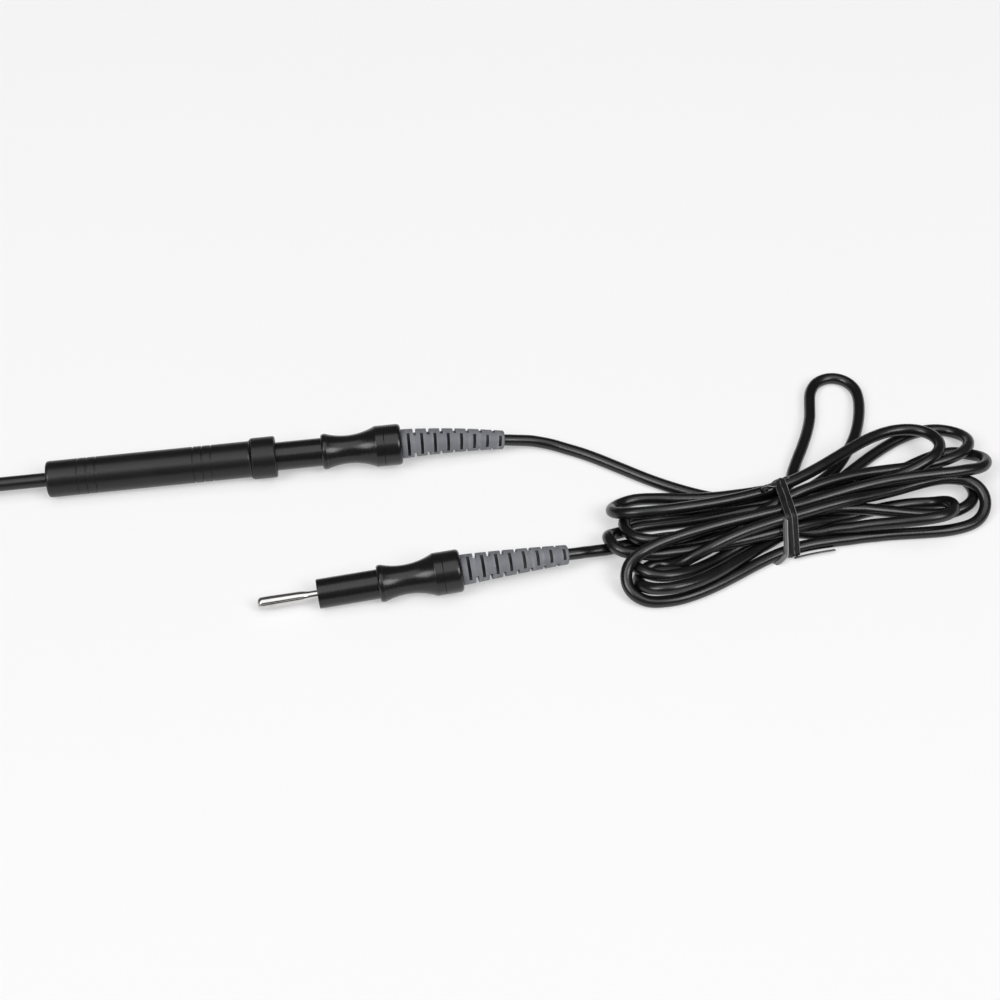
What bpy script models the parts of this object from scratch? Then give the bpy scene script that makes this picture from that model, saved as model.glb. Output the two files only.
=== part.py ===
# Laparoscopic hook electrode with its plug-in cable.
# The instrument lies on a table along X, hook at -X, with its rear collar and its shaft's end on the table.
# Metres, +Z up, origin on the table under the middle of the instrument.

from math import asin, cos, pi, radians, sin, sqrt

import bmesh
import bpy
from mathutils import Matrix, Vector

for old_object in list(bpy.data.objects):
    bpy.data.objects.remove(old_object, do_unlink=True)

MM = 0.001
GAP = 0.3 * MM
ROUND_STEPS = 28
SMALL_STEPS = 20
WAIST_STEPS = 8

# Driving dimensions of the instrument. The collar's rear face is at 0, and the hook at minus its length.
WORKING_LENGTH = 330.0 * MM
SHAFT_RADIUS = 2.5 * MM
SHAFT_BORE = 1.7 * MM
TUBE_RADIUS = 1.4 * MM
TUBE_BORE = 1.0 * MM
HOOK_WIRE_RADIUS = 0.65 * MM
HANDLE_LENGTH = 81.3 * MM
HANDLE_RADIUS = 6.5 * MM
GROOVE_WIDTH = 0.5 * MM
GROOVE_DEPTH = 0.3 * MM
GROOVE_PITCH = 3.2 * MM
GROOVE_GROUPS = (11.2 * MM, 52.0 * MM)
COLLAR_LENGTH = 8.8 * MM
COLLAR_RADIUS = 7.45 * MM
INSULATOR_LENGTH = 7.0 * MM
HOOK_REACH = 13.0 * MM

# Driving dimensions of the two equal plugs. Distances along one are counted from its barrel's front face.
PIN_LENGTH = 20.7 * MM
PIN_RADIUS = 2.0 * MM
PIN_ROOT_RADIUS = 1.5 * MM
PIN_SPREAD = 0.15 * MM
PIN_SLOT = 0.5 * MM
BARREL_RADIUS = 5.075 * MM
BARREL_LENGTH = 20.8 * MM
RING_RADIUS = 6.42 * MM
RING_STEP = 0.5 * MM
RING_REAR = BARREL_LENGTH + 1.7 * MM
WAIST_FRONT = BARREL_LENGTH + 2.0 * MM
WAIST_ARC = 23.0 * MM
WAIST_PLACE = 30.2 * MM
PLUG_COLLAR_RADIUS = 7.4 * MM
PLUG_LENGTH = 49.5 * MM
PLUG_LINE = 2.9 * MM
PLUG_EDGE = 1.0 * MM
BARREL_INSERTED = 4.4 * MM
BOOT_LENGTH = 37.0 * MM
BOOT_RADIUS = 5.25 * MM
BOOT_END_RADIUS = 3.4 * MM
BOOT_SHANK = 5.4 * MM
BOOT_SHANK_RADIUS = 3.9 * MM
SLOT_PITCH = 4.7 * MM
SLOT_WIDTH = 1.1 * MM
SLOT_FLOORS = (3.2 * MM, 2.9 * MM)
SLOTS_IN_A_ROW = 8
FIRST_SLOT = 2.2 * MM
BOOT_RING = 1.6 * MM

# Driving dimensions of the cable and of its hank.
CABLE_RADIUS = 2.1 * MM
CABLE_IN_BOOT = 4.7 * MM
CABLE_LIES_AT = CABLE_RADIUS + 0.05 * MM
HANK_HEIGHT = 12.6 * MM
TIE_PLACE = Vector((381.8 * MM, -48.6 * MM))
TIE_ANGLE = radians(11.0)
TIE_WIDTH = 5.6 * MM
TIE_RIBBON = 0.7 * MM
NECK_HALF_WIDTH = 11.6 * MM
NECK_RADIUS = 5.8 * MM

# Where the instrument and the generator plug lie.
INSTRUMENT_LENGTH = WORKING_LENGTH + HANDLE_LENGTH
RESTING_SPAN = INSTRUMENT_LENGTH - HOOK_REACH - COLLAR_LENGTH
INSTRUMENT_PITCH = asin((COLLAR_RADIUS - SHAFT_RADIUS) / RESTING_SPAN)
REAR_FACE = Vector((
    INSTRUMENT_LENGTH * cos(INSTRUMENT_PITCH) / 2,
    0.0,
    COLLAR_RADIUS + COLLAR_LENGTH * sin(INSTRUMENT_PITCH),
))
RING_TO_COLLAR = 18.4 * MM
PLUG_PITCH = asin((PLUG_COLLAR_RADIUS - RING_RADIUS) / RING_TO_COLLAR)
PLUG_HEADING = radians(2.57)
PLUG_FRONT = Vector((
    216.45 * MM,
    -61.9 * MM,
    RING_RADIUS * cos(PLUG_PITCH) - RING_REAR * sin(PLUG_PITCH) + 0.02 * MM,
))

BLACK_SATIN = ("black_satin", (0.02, 0.02, 0.022), 0.35, 0.0)
BLACK_INSULATION = ("black_insulation", (0.015, 0.015, 0.016), 0.3, 0.0)
BLACK_CABLE = ("black_cable", (0.012, 0.012, 0.013), 0.25, 0.0)
GREY_RUBBER = ("grey_rubber", (0.17, 0.175, 0.19), 0.6, 0.0)
STEEL = ("steel", (0.62, 0.61, 0.59), 0.2, 1.0)
BRASS = ("brass", (0.72, 0.52, 0.24), 0.25, 1.0)
CERAMIC = ("ceramic", (0.03, 0.03, 0.032), 0.4, 0.0)
SEAL_RUBBER = ("seal_rubber", (0.02, 0.02, 0.02), 0.7, 0.0)

part_collection = bpy.data.collections.new("laparoscopic_hook_electrode")
bpy.context.scene.collection.children.link(part_collection)
cutter_collection = bpy.data.collections.new("cutters_and_guides")
bpy.context.scene.collection.children.link(cutter_collection)


def material_of(finish):
    name, colour, roughness, metallic = finish
    found = bpy.data.materials.get(name)
    if found:
        return found
    made = bpy.data.materials.new(name)
    made.use_nodes = True
    shader = made.node_tree.nodes["Principled BSDF"]
    shader.inputs["Base Color"].default_value = (*colour, 1.0)
    shader.inputs["Roughness"].default_value = roughness
    shader.inputs["Metallic"].default_value = metallic
    return made


def add_object(name, data, finish=None, parent=None, matrix=None):
    """An object of the part, or a cutter where it has no finish."""
    made = bpy.data.objects.new(name, data)
    if finish:
        part_collection.objects.link(made)
        data.materials.clear()
        data.materials.append(material_of(finish))
    else:
        cutter_collection.objects.link(made)
        made.hide_render = True
        made.display_type = "WIRE"
    made.parent = parent
    if matrix:
        made.matrix_local = matrix
    return made


def add_empty(name, location, direction_matrix):
    made = bpy.data.objects.new(name, None)
    part_collection.objects.link(made)
    made.empty_display_size = 0.02
    made.matrix_world = Matrix.Translation(location) @ direction_matrix
    return made


# A turned piece is drawn with its axis along Z and then laid along its parent's X.
ALONG_X = Matrix.Rotation(pi / 2, 4, "Y")


def turned(name, outside, bore=(), finish=None, parent=None, steps=ROUND_STEPS):
    """A turned piece. outside and bore list (distance along the axis, radius) from its low end up."""
    profile = [(radius, along) for along, radius in reversed(outside)]
    if bore:
        profile += [(radius, along) for along, radius in bore]
    else:
        profile = [(0.0, outside[-1][0])] + profile + [(0.0, outside[0][0])]
    mesh = bpy.data.meshes.new(name)
    shape = bmesh.new()
    corners = [shape.verts.new((radius, 0.0, along)) for radius, along in profile]
    for first, second in zip(corners, corners[1:]):
        shape.edges.new((first, second))
    if bore:
        shape.edges.new((corners[-1], corners[0]))
    shape.to_mesh(mesh)
    shape.free()
    made = add_object(name, mesh, finish, parent, ALONG_X)
    screw = made.modifiers.new("Turn", "SCREW")
    screw.steps = steps
    screw.render_steps = steps
    screw.use_merge_vertices = True
    screw.merge_threshold = 0.00001
    screw.use_smooth_shade = True
    return made


def round_corner(centre_along, centre_radius, radius, start, end, steps=3):
    """Points of a rounded corner, its angles counted from the axis direction towards the outside."""
    angles = [start + (end - start) * step / steps for step in range(steps + 1)]
    return [(centre_along + radius * cos(a), centre_radius + radius * sin(a)) for a in angles]


def box_mesh(name, boxes):
    """One mesh of separate boxes, each given by its centre and its size."""
    mesh = bpy.data.meshes.new(name)
    shape = bmesh.new()
    for centre, size in boxes:
        place = Matrix.Translation(centre) @ Matrix.Diagonal((*size, 1.0))
        bmesh.ops.create_cube(shape, size=1.0, matrix=place)
    shape.to_mesh(mesh)
    shape.free()
    return mesh


def boolean(target, other, operation="DIFFERENCE"):
    step = target.modifiers.new(operation.title(), "BOOLEAN")
    step.operation = operation
    step.solver = "EXACT"
    step.object = other
    return step


def welded_mesh_of(source, name):
    """The evaluated mesh of a curve or of a piece with modifiers, with its caps welded."""
    bpy.context.view_layer.update()
    graph = bpy.context.evaluated_depsgraph_get()
    mesh = bpy.data.meshes.new_from_object(source.evaluated_get(graph))
    mesh.name = name
    shape = bmesh.new()
    shape.from_mesh(mesh)
    bmesh.ops.remove_doubles(shape, verts=shape.verts, dist=0.00001)
    bmesh.ops.recalc_face_normals(shape, faces=shape.faces)
    shape.to_mesh(mesh)
    shape.free()
    return mesh


def as_mesh(source, finish=None):
    """Replaces a curve by a welded mesh object of the same name and place."""
    name, parent, matrix = source.name, source.parent, source.matrix_local.copy()
    mesh = welded_mesh_of(source, name)
    bpy.data.objects.remove(source, do_unlink=True)
    return add_object(name, mesh, finish, parent, matrix)


def smooth_route(points, spacing):
    """Points read at an even spacing from a smooth curve through the given ones."""
    ends = [2 * points[0] - points[1], *points, 2 * points[-1] - points[-2]]
    fine = []
    for before, start, end, after in zip(ends, ends[1:], ends[2:], ends[3:]):
        for step in range(24):
            t = step / 24
            fine.append(0.5 * (
                2 * start
                + (end - before) * t
                + (2 * before - 5 * start + 4 * end - after) * t * t
                + (3 * start - before - 3 * end + after) * t ** 3
            ))
    fine.append(points[-1])
    total = sum((b - a).length for a, b in zip(fine, fine[1:]))
    count = max(2, round(total / spacing))
    route, walked, wanted = [fine[0]], 0.0, total / count
    for a, b in zip(fine, fine[1:]):
        walked += (b - a).length
        if walked >= wanted - 1e-9 and len(route) < count:
            route.append(b)
            wanted += total / count
    route.append(fine[-1])
    return route


def tube_curve(name, points, radius, finish=None, parent=None, resolution=2):
    """A round wire or tube along the points, with filled ends."""
    curve = bpy.data.curves.new(name, "CURVE")
    curve.dimensions = "3D"
    curve.bevel_depth = radius
    curve.bevel_resolution = resolution
    curve.use_fill_caps = True
    line = curve.splines.new("POLY")
    line.points.add(len(points) - 1)
    for spot, point in zip(line.points, points):
        spot.co = (*point, 1.0)
    return add_object(name, curve, finish, parent)


# Frames: the instrument's axis through its rear socket, the plug's place in it, and the free plug.
# The socket's axis is also the line along which the cable's plug pulls out.
instrument_axis = add_empty("instrument_axis", REAR_FACE, Matrix.Rotation(-INSTRUMENT_PITCH, 4, "Y"))
handle_plug = bpy.data.objects.new("handle_plug_pull_axis", None)
part_collection.objects.link(handle_plug)
handle_plug.parent = instrument_axis
handle_plug.location = (-BARREL_INSERTED, 0.0, 0.0)
generator_plug = add_empty(
    "generator_plug_axis",
    PLUG_FRONT,
    Matrix.Rotation(PLUG_HEADING, 4, "Z") @ Matrix.Rotation(-PLUG_PITCH, 4, "Y"),
)
bpy.context.view_layer.update()


# Shaft: hook, insulating nose, conductor tube and its insulation.
TIP = -INSTRUMENT_LENGTH
NOSE_FRONT = TIP + HOOK_REACH
NOSE_REAR = NOSE_FRONT + INSULATOR_LENGTH
NOSE_ROUNDING = 1.2 * MM
TUBE_FRONT = NOSE_FRONT + 1.5 * MM
TUBE_REAR = -32.3 * MM
INSULATION_REAR = -60.5 * MM
HOOK_SHANK = 9.0 * MM
HOOK_STEP = -1.2 * MM
HOOK_STEP_START = NOSE_FRONT - 1.4 * MM
HOOK_STEP_END = NOSE_FRONT - 5.4 * MM
HOOK_BEND = 1.3 * MM
HOOK_LEG_TOP = 1.75 * MM


def hook_electrode():
    """An L of round wire: a shank crimped in the tube, a step off the axis, and a leg back across it."""
    leg_x = TIP + HOOK_WIRE_RADIUS
    run_end = leg_x + HOOK_BEND
    points = [Vector((TUBE_FRONT + HOOK_SHANK, 0, 0)), Vector((NOSE_FRONT, 0, 0))]
    for step in range(7):
        t = step / 6
        rise = 0.5 - 0.5 * cos(pi * t)
        along = HOOK_STEP_START + (HOOK_STEP_END - HOOK_STEP_START) * t
        points.append(Vector((along, 0, HOOK_STEP * rise)))
    for step in range(6):
        angle = pi / 2 * step / 5
        height = HOOK_STEP + HOOK_BEND * (1 - cos(angle))
        points.append(Vector((run_end - HOOK_BEND * sin(angle), 0, height)))
    points.append(Vector((leg_x, 0, HOOK_LEG_TOP)))
    return tube_curve("hook_electrode", points, HOOK_WIRE_RADIUS, STEEL, instrument_axis, resolution=3)


hook_electrode()
turned(
    "tip_insulator",
    round_corner(NOSE_FRONT + NOSE_ROUNDING, SHAFT_RADIUS - NOSE_ROUNDING, NOSE_ROUNDING, pi, pi / 2)
    + [(NOSE_REAR, SHAFT_RADIUS)],
    [(NOSE_FRONT, HOOK_WIRE_RADIUS + GAP), (TUBE_FRONT - GAP, HOOK_WIRE_RADIUS + GAP),
     (TUBE_FRONT - GAP, SHAFT_BORE), (NOSE_REAR, SHAFT_BORE)],
    CERAMIC, instrument_axis, 24,
)
turned(
    "conductor_tube",
    [(TUBE_FRONT, TUBE_RADIUS), (TUBE_REAR, TUBE_RADIUS)],
    [(TUBE_FRONT, TUBE_BORE), (TUBE_REAR, TUBE_BORE)],
    STEEL, instrument_axis, SMALL_STEPS,
)
turned(
    "shaft_insulation",
    [(NOSE_REAR + GAP, SHAFT_RADIUS), (INSULATION_REAR, SHAFT_RADIUS)],
    [(NOSE_REAR + GAP, SHAFT_BORE), (INSULATION_REAR, SHAFT_BORE)],
    BLACK_INSULATION, instrument_axis, 24,
)


# Handle: grooved barrel, nose seal, clamp ring, brass socket with its screw and retainer, and the rear collar.
HANDLE_FRONT = -HANDLE_LENGTH
HANDLE_ROUNDING = 1.2 * MM
FLARE_RISE = COLLAR_RADIUS - HANDLE_RADIUS - 0.25 * MM
FLARE_LENGTH = 1.6 * FLARE_RISE
COLLAR_EDGE = 0.45 * MM
MOUTH_CHAMFER = 0.5 * MM
SPIGOT_REAR = -2.1 * MM
SPIGOT_RADIUS = 6.3 * MM
MOUTH_RADIUS = BARREL_RADIUS + GAP
CAVITY_RADIUS = 4.9 * MM
CAVITY_FRONT = HANDLE_FRONT + 15.0 * MM
CAVITY_REAR = -9.6 * MM
SEAL_PLACE = HANDLE_FRONT + 6.0 * MM
SEAL_WIRE = 0.7 * MM
SEAL_RADIUS = SHAFT_RADIUS + GAP + SEAL_WIRE
CLAMP_LENGTH = 5.0 * MM


def handle_outside():
    """The barrel's outline, front to rear: rounded nose, two groups of fine grooves, a flare and a spigot."""
    nose = HANDLE_FRONT + HANDLE_ROUNDING
    outline = round_corner(nose, HANDLE_RADIUS - HANDLE_ROUNDING, HANDLE_ROUNDING, pi, pi / 2)
    for group in GROOVE_GROUPS:
        for index in range(3):
            middle = HANDLE_FRONT + group + index * GROOVE_PITCH
            low, high = middle - GROOVE_WIDTH / 2, middle + GROOVE_WIDTH / 2
            outline += [(low, HANDLE_RADIUS), (low + GROOVE_DEPTH / 3, HANDLE_RADIUS - GROOVE_DEPTH)]
            outline += [(high - GROOVE_DEPTH / 3, HANDLE_RADIUS - GROOVE_DEPTH), (high, HANDLE_RADIUS)]
    flare_end = -COLLAR_LENGTH - GAP
    for step in range(5):
        angle = pi / 2 * step / 4
        along = flare_end - FLARE_LENGTH * (1 - sin(angle))
        outline.append((along, HANDLE_RADIUS + FLARE_RISE * (1 - cos(angle))))
    outline += [(flare_end, SPIGOT_RADIUS), (SPIGOT_REAR, SPIGOT_RADIUS)]
    return outline


def handle_bore():
    seal_groove, seal_half = SEAL_RADIUS + SEAL_WIRE + GAP, SEAL_WIRE + GAP
    nose_bore = SHAFT_RADIUS + GAP
    return [
        (HANDLE_FRONT, nose_bore),
        (SEAL_PLACE - seal_half, nose_bore),
        (SEAL_PLACE - seal_half, seal_groove),
        (SEAL_PLACE + seal_half, seal_groove),
        (SEAL_PLACE + seal_half, nose_bore),
        (CAVITY_FRONT, nose_bore),
        (CAVITY_FRONT, CAVITY_RADIUS),
        (CAVITY_REAR, CAVITY_RADIUS),
        (CAVITY_REAR, MOUTH_RADIUS),
        (SPIGOT_REAR, MOUTH_RADIUS),
    ]


turned("handle_barrel", handle_outside(), handle_bore(), BLACK_SATIN, instrument_axis)

turned(
    "rear_collar",
    [(-COLLAR_LENGTH, COLLAR_RADIUS - COLLAR_EDGE), (-COLLAR_LENGTH + COLLAR_EDGE, COLLAR_RADIUS),
     (-COLLAR_EDGE, COLLAR_RADIUS), (0.0, COLLAR_RADIUS - COLLAR_EDGE)],
    [(-COLLAR_LENGTH, SPIGOT_RADIUS + GAP), (SPIGOT_REAR + GAP, SPIGOT_RADIUS + GAP),
     (SPIGOT_REAR + GAP, MOUTH_RADIUS), (-MOUTH_CHAMFER, MOUTH_RADIUS), (0.0, MOUTH_RADIUS + MOUTH_CHAMFER)],
    BLACK_SATIN, instrument_axis,
)

seal_mesh = bpy.data.meshes.new("nose_seal")
seal_shape = bmesh.new()
seal_ring = []
for step in range(8):
    seal_angle = 2 * pi * step / 8
    seal_ring.append(seal_shape.verts.new((
        SEAL_RADIUS + SEAL_WIRE * cos(seal_angle), 0.0, SEAL_PLACE - SEAL_WIRE * sin(seal_angle),
    )))
for first, second in zip(seal_ring, seal_ring[1:] + seal_ring[:1]):
    seal_shape.edges.new((first, second))
seal_shape.to_mesh(seal_mesh)
seal_shape.free()
nose_seal = add_object("nose_seal", seal_mesh, SEAL_RUBBER, instrument_axis, ALONG_X)
seal_turn = nose_seal.modifiers.new("Turn", "SCREW")
seal_turn.steps = SMALL_STEPS
seal_turn.render_steps = SMALL_STEPS
seal_turn.use_merge_vertices = True
seal_turn.merge_threshold = 0.00001

turned(
    "shaft_clamp",
    [(CAVITY_FRONT + GAP, CAVITY_RADIUS - GAP), (CAVITY_FRONT + CLAMP_LENGTH, CAVITY_RADIUS - GAP)],
    [(CAVITY_FRONT + GAP, SHAFT_RADIUS + GAP), (CAVITY_FRONT + CLAMP_LENGTH, SHAFT_RADIUS + GAP)],
    BRASS, instrument_axis, 24,
)

SOCKET_FRONT = -42.0 * MM
SOCKET_REAR = -9.3 * MM
SOCKET_RADIUS = 3.6 * MM
SOCKET_FLANGE = 4.6 * MM
FLANGE_LENGTH = 1.6 * MM
SOCKET_BORE = PIN_RADIUS + 0.12 * MM
SOCKET_FLOOR = -BARREL_INSERTED - PIN_LENGTH - 1.2 * MM
PAST_THE_WALL = 1.0 * MM
SCREW_PLACE = -37.0 * MM
SCREW_RADIUS = 1.2 * MM
SCREW_TOP = SOCKET_RADIUS + 0.3 * MM
SCREW_SLOT = Vector((0.5, 4.0, 1.0)) * MM
RETAINER_REAR = -BARREL_INSERTED - 2 * GAP
RETAINER_BORE = PIN_RADIUS + 0.4 * MM


def contact_socket():
    """Brass, bored from the rear for the pin and from the front for the tube, with a flange at each end."""
    body = turned(
        "contact_socket",
        [(SOCKET_FRONT, SOCKET_FLANGE), (SOCKET_FRONT + FLANGE_LENGTH, SOCKET_FLANGE),
         (SOCKET_FRONT + FLANGE_LENGTH, SOCKET_RADIUS), (CAVITY_REAR - FLANGE_LENGTH, SOCKET_RADIUS),
         (CAVITY_REAR - FLANGE_LENGTH, SOCKET_FLANGE), (SOCKET_REAR, SOCKET_FLANGE)],
        finish=BRASS, parent=instrument_axis, steps=24,
    )
    pin_room = turned(
        "contact_socket_pin_bore",
        [(SOCKET_FLOOR, SOCKET_BORE), (SOCKET_REAR + PAST_THE_WALL, SOCKET_BORE)],
        parent=instrument_axis, steps=SMALL_STEPS,
    )
    tube_room = turned(
        "contact_socket_tube_bore",
        [(SOCKET_FRONT - PAST_THE_WALL, TUBE_RADIUS + GAP), (TUBE_REAR + GAP, TUBE_RADIUS + GAP)],
        parent=instrument_axis, steps=SMALL_STEPS,
    )
    screw_room = turned(
        "contact_socket_screw_hole",
        [(TUBE_RADIUS, SCREW_RADIUS + GAP), (SOCKET_RADIUS + PAST_THE_WALL, SCREW_RADIUS + GAP)],
        parent=instrument_axis, steps=16,
    )
    screw_room.matrix_local = Matrix.Translation((SCREW_PLACE, 0, 0))
    for cutter in (pin_room, tube_room, screw_room):
        boolean(body, cutter)
    return body


contact_socket()
socket_screw = turned(
    "socket_screw",
    [(TUBE_RADIUS + GAP, SCREW_RADIUS), (SCREW_TOP, SCREW_RADIUS)],
    finish=STEEL, parent=instrument_axis, steps=16,
)
socket_screw.matrix_local = Matrix.Translation((SCREW_PLACE, 0, 0))
screw_slot = add_object(
    "socket_screw_slot",
    box_mesh("socket_screw_slot", [((0, 0, SCREW_TOP), SCREW_SLOT)]),
    None, instrument_axis, Matrix.Translation((SCREW_PLACE, 0, 0)),
)
boolean(socket_screw, screw_slot)

turned(
    "socket_retainer",
    [(SOCKET_REAR + GAP, BARREL_RADIUS), (RETAINER_REAR, BARREL_RADIUS)],
    [(SOCKET_REAR + GAP, RETAINER_BORE), (RETAINER_REAR, RETAINER_BORE)],
    BLACK_SATIN, instrument_axis, 24,
)


# Plugs: split pin, crimp sleeve, turned body and slotted boot. Both are made by the same functions.
PIN_SHOULDER = 22.0 * MM
SHOULDER_LENGTH = 1.5 * MM
SHOULDER_RADIUS = 2.6 * MM
PIN_REAR = 25.0 * MM
PIN_WIDEST = -PIN_LENGTH + 4.0 * MM
PIN_TAPER = (-5.5 * MM, -3.0 * MM)
PIN_SLOT_END = -5.0 * MM
PIN_SLOT_ROLL = radians(-35.0)
CRIMP_FRONT = PIN_SHOULDER + SHOULDER_LENGTH + GAP
CRIMP_REAR = 38.0 * MM
CRIMP_RADIUS = 2.4 * MM
CRIMP_PRESSED = 2.0 * MM
CRIMP_BORE = 1.1 * MM
BODY_BORE = SHOULDER_RADIUS + GAP
SHANK_ROOM = PLUG_LENGTH - BOOT_SHANK - GAP


def plug_pin(name, parent, spread):
    """Split pin with a rounded tip, thinner at its root, and a shoulder that holds it in the body."""
    tip = PIN_RADIUS + spread
    rounding = 0.8 * tip
    outline = round_corner(-PIN_LENGTH + rounding, tip - rounding, rounding, pi, pi / 2, 5)
    outline += [
        (PIN_WIDEST, tip),
        (PIN_TAPER[0], PIN_RADIUS - 0.1 * MM),
        (PIN_TAPER[1], PIN_ROOT_RADIUS),
        (PIN_SHOULDER, PIN_ROOT_RADIUS),
        (PIN_SHOULDER, SHOULDER_RADIUS),
        (PIN_SHOULDER + SHOULDER_LENGTH, SHOULDER_RADIUS),
        (PIN_SHOULDER + SHOULDER_LENGTH, PIN_ROOT_RADIUS),
        (PIN_REAR, PIN_ROOT_RADIUS),
    ]
    pin = turned(name, outline, finish=STEEL, parent=parent, steps=24)
    past_the_tip = 2.0 * MM
    length = PIN_LENGTH + PIN_SLOT_END + past_the_tip
    middle = PIN_SLOT_END - length / 2
    slot = add_object(
        name + "_slot",
        box_mesh(name + "_slot", [((middle, 0, 0), (length, 4 * PIN_RADIUS, PIN_SLOT))]),
        None, parent, Matrix.Rotation(PIN_SLOT_ROLL, 4, "X"),
    )
    boolean(pin, slot)
    return pin


def plug_body(name, parent):
    """Turned body: plain barrel, ring, concave waist, and a collar with a fine line and a round rear edge."""
    chamfer = 0.4 * MM
    outline = [(0.0, BARREL_RADIUS - chamfer), (chamfer, BARREL_RADIUS), (BARREL_LENGTH, BARREL_RADIUS)]
    outline += [(BARREL_LENGTH, RING_RADIUS - RING_STEP), (BARREL_LENGTH + 0.6 * MM, RING_RADIUS)]
    outline.append((RING_REAR, RING_RADIUS))
    rise = PLUG_COLLAR_RADIUS - BARREL_RADIUS
    waist_end = WAIST_PLACE + sqrt(WAIST_ARC ** 2 - (WAIST_ARC - rise) ** 2)
    for step in range(WAIST_STEPS + 1):
        along = WAIST_FRONT + (waist_end - WAIST_FRONT) * step / WAIST_STEPS
        depth = WAIST_ARC - sqrt(WAIST_ARC ** 2 - (along - WAIST_PLACE) ** 2)
        outline.append((along, BARREL_RADIUS + depth))
    line = waist_end + PLUG_LINE
    for along, depth in ((-0.15, 0), (0, 0.2), (0.15, 0)):
        outline.append((line + along * MM, PLUG_COLLAR_RADIUS - depth * MM))
    rear = PLUG_LENGTH - PLUG_EDGE
    outline += round_corner(rear, PLUG_COLLAR_RADIUS - PLUG_EDGE, PLUG_EDGE, pi / 2, 0)
    bore = [
        (0.0, PIN_ROOT_RADIUS + GAP),
        (PIN_SHOULDER - GAP, PIN_ROOT_RADIUS + GAP),
        (PIN_SHOULDER - GAP, BODY_BORE),
        (SHANK_ROOM, BODY_BORE),
        (SHANK_ROOM, BOOT_SHANK_RADIUS + GAP),
        (PLUG_LENGTH, BOOT_SHANK_RADIUS + GAP),
    ]
    return turned(name, outline, bore, BLACK_SATIN, parent)


def plug_crimp(name, parent):
    """Sleeve pressed onto the pin's tail in front and the cable's strands behind."""
    web = PIN_REAR + GAP
    return turned(
        name,
        [(CRIMP_FRONT, CRIMP_RADIUS), (CRIMP_REAR - 4.0 * MM, CRIMP_RADIUS),
         (CRIMP_REAR - 3.0 * MM, CRIMP_PRESSED), (CRIMP_REAR, CRIMP_PRESSED)],
        [(CRIMP_FRONT, PIN_ROOT_RADIUS + GAP), (web, PIN_ROOT_RADIUS + GAP), (web, CRIMP_BORE),
         (CRIMP_REAR, CRIMP_BORE)],
        BRASS, parent, 16,
    )


def bend_down(mesh, start, length, angle):
    """Bends what lies past start along X into an arc that turns down by the angle over the length."""
    arc = length / angle
    for vertex in mesh.vertices:
        along = vertex.co.x - start
        if along <= 0:
            continue
        turn = along / arc
        height = arc + vertex.co.z
        vertex.co.x = start + height * sin(turn)
        vertex.co.z = height * cos(turn) - arc


def boot_end(droop, aside):
    """The middle of the boot's mouth and its direction, in its plug's frame."""
    angle = 2 * droop / BOOT_LENGTH
    arc = BOOT_LENGTH / angle
    mouth = Vector((PLUG_LENGTH + arc * sin(angle), 0, arc * cos(angle) - arc))
    bend_plane = Matrix.Rotation(aside, 3, "X")
    return bend_plane @ mouth, bend_plane @ Vector((cos(angle), 0, -sin(angle)))


def plug_boot(name, parent, roll, droop, aside):
    """Tapered strain relief: a shank in the body, a base ring, and slots from two pairs of sides in turn.
    It bends down by its droop, in a plane turned aside about the plug's axis."""
    start = PLUG_LENGTH + GAP
    end = PLUG_LENGTH + BOOT_LENGTH
    straight = turned(
        name + "_straight",
        [(SHANK_ROOM + GAP, BOOT_SHANK_RADIUS), (start, BOOT_SHANK_RADIUS), (start, BOOT_RADIUS - 0.2 * MM),
         (start + 0.3 * MM, BOOT_RADIUS), (start + BOOT_RING, BOOT_RADIUS),
         (end - 0.5 * MM, BOOT_END_RADIUS), (end, BOOT_END_RADIUS - 0.4 * MM)],
        finish=GREY_RUBBER, parent=parent, steps=SMALL_STEPS,
    )
    mouth = turned(
        name + "_mouth",
        [(end - CABLE_IN_BOOT - GAP, CABLE_RADIUS + GAP), (end + PAST_THE_WALL, CABLE_RADIUS + GAP)],
        parent=parent, steps=16,
    )
    boxes = []
    depth, across = 4.0 * MM, 14.0 * MM
    count = 2 * SLOTS_IN_A_ROW - 1
    for index in range(count):
        along = start + FIRST_SLOT + index * SLOT_PITCH / 2
        floor = SLOT_FLOORS[0] + (SLOT_FLOORS[1] - SLOT_FLOORS[0]) * index / (count - 1)
        for side in (-1, 1):
            reach = side * (floor + depth / 2)
            on_y = index % 2 == 0
            centre = (along, reach, 0) if on_y else (along, 0, reach)
            size = (SLOT_WIDTH, depth, across) if on_y else (SLOT_WIDTH, across, depth)
            boxes.append((centre, size))
    slots_mesh = box_mesh(name + "_slots", boxes)
    slots = add_object(name + "_slots", slots_mesh, None, parent, Matrix.Rotation(roll, 4, "X"))
    boolean(straight, mouth)
    boolean(straight, slots)
    mesh = welded_mesh_of(straight, name)
    mesh.transform(Matrix.Rotation(-aside, 4, "X") @ ALONG_X)
    bend_down(mesh, PLUG_LENGTH, BOOT_LENGTH, 2 * droop / BOOT_LENGTH)
    mesh.transform(Matrix.Rotation(aside, 4, "X"))
    for helper in (straight, mouth, slots):
        bpy.data.objects.remove(helper, do_unlink=True)
    return add_object(name, mesh, GREY_RUBBER, parent)


HANDLE_BOOT_DROOP = 3.4 * MM
GENERATOR_BOOT_DROOP = 3.3 * MM
HANDLE_BOOT_ASIDE = 0.0
GENERATOR_BOOT_ASIDE = radians(25.0)
HANDLE_BOOT_ROLL = radians(140.0)
GENERATOR_BOOT_ROLL = radians(125.0)

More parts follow.
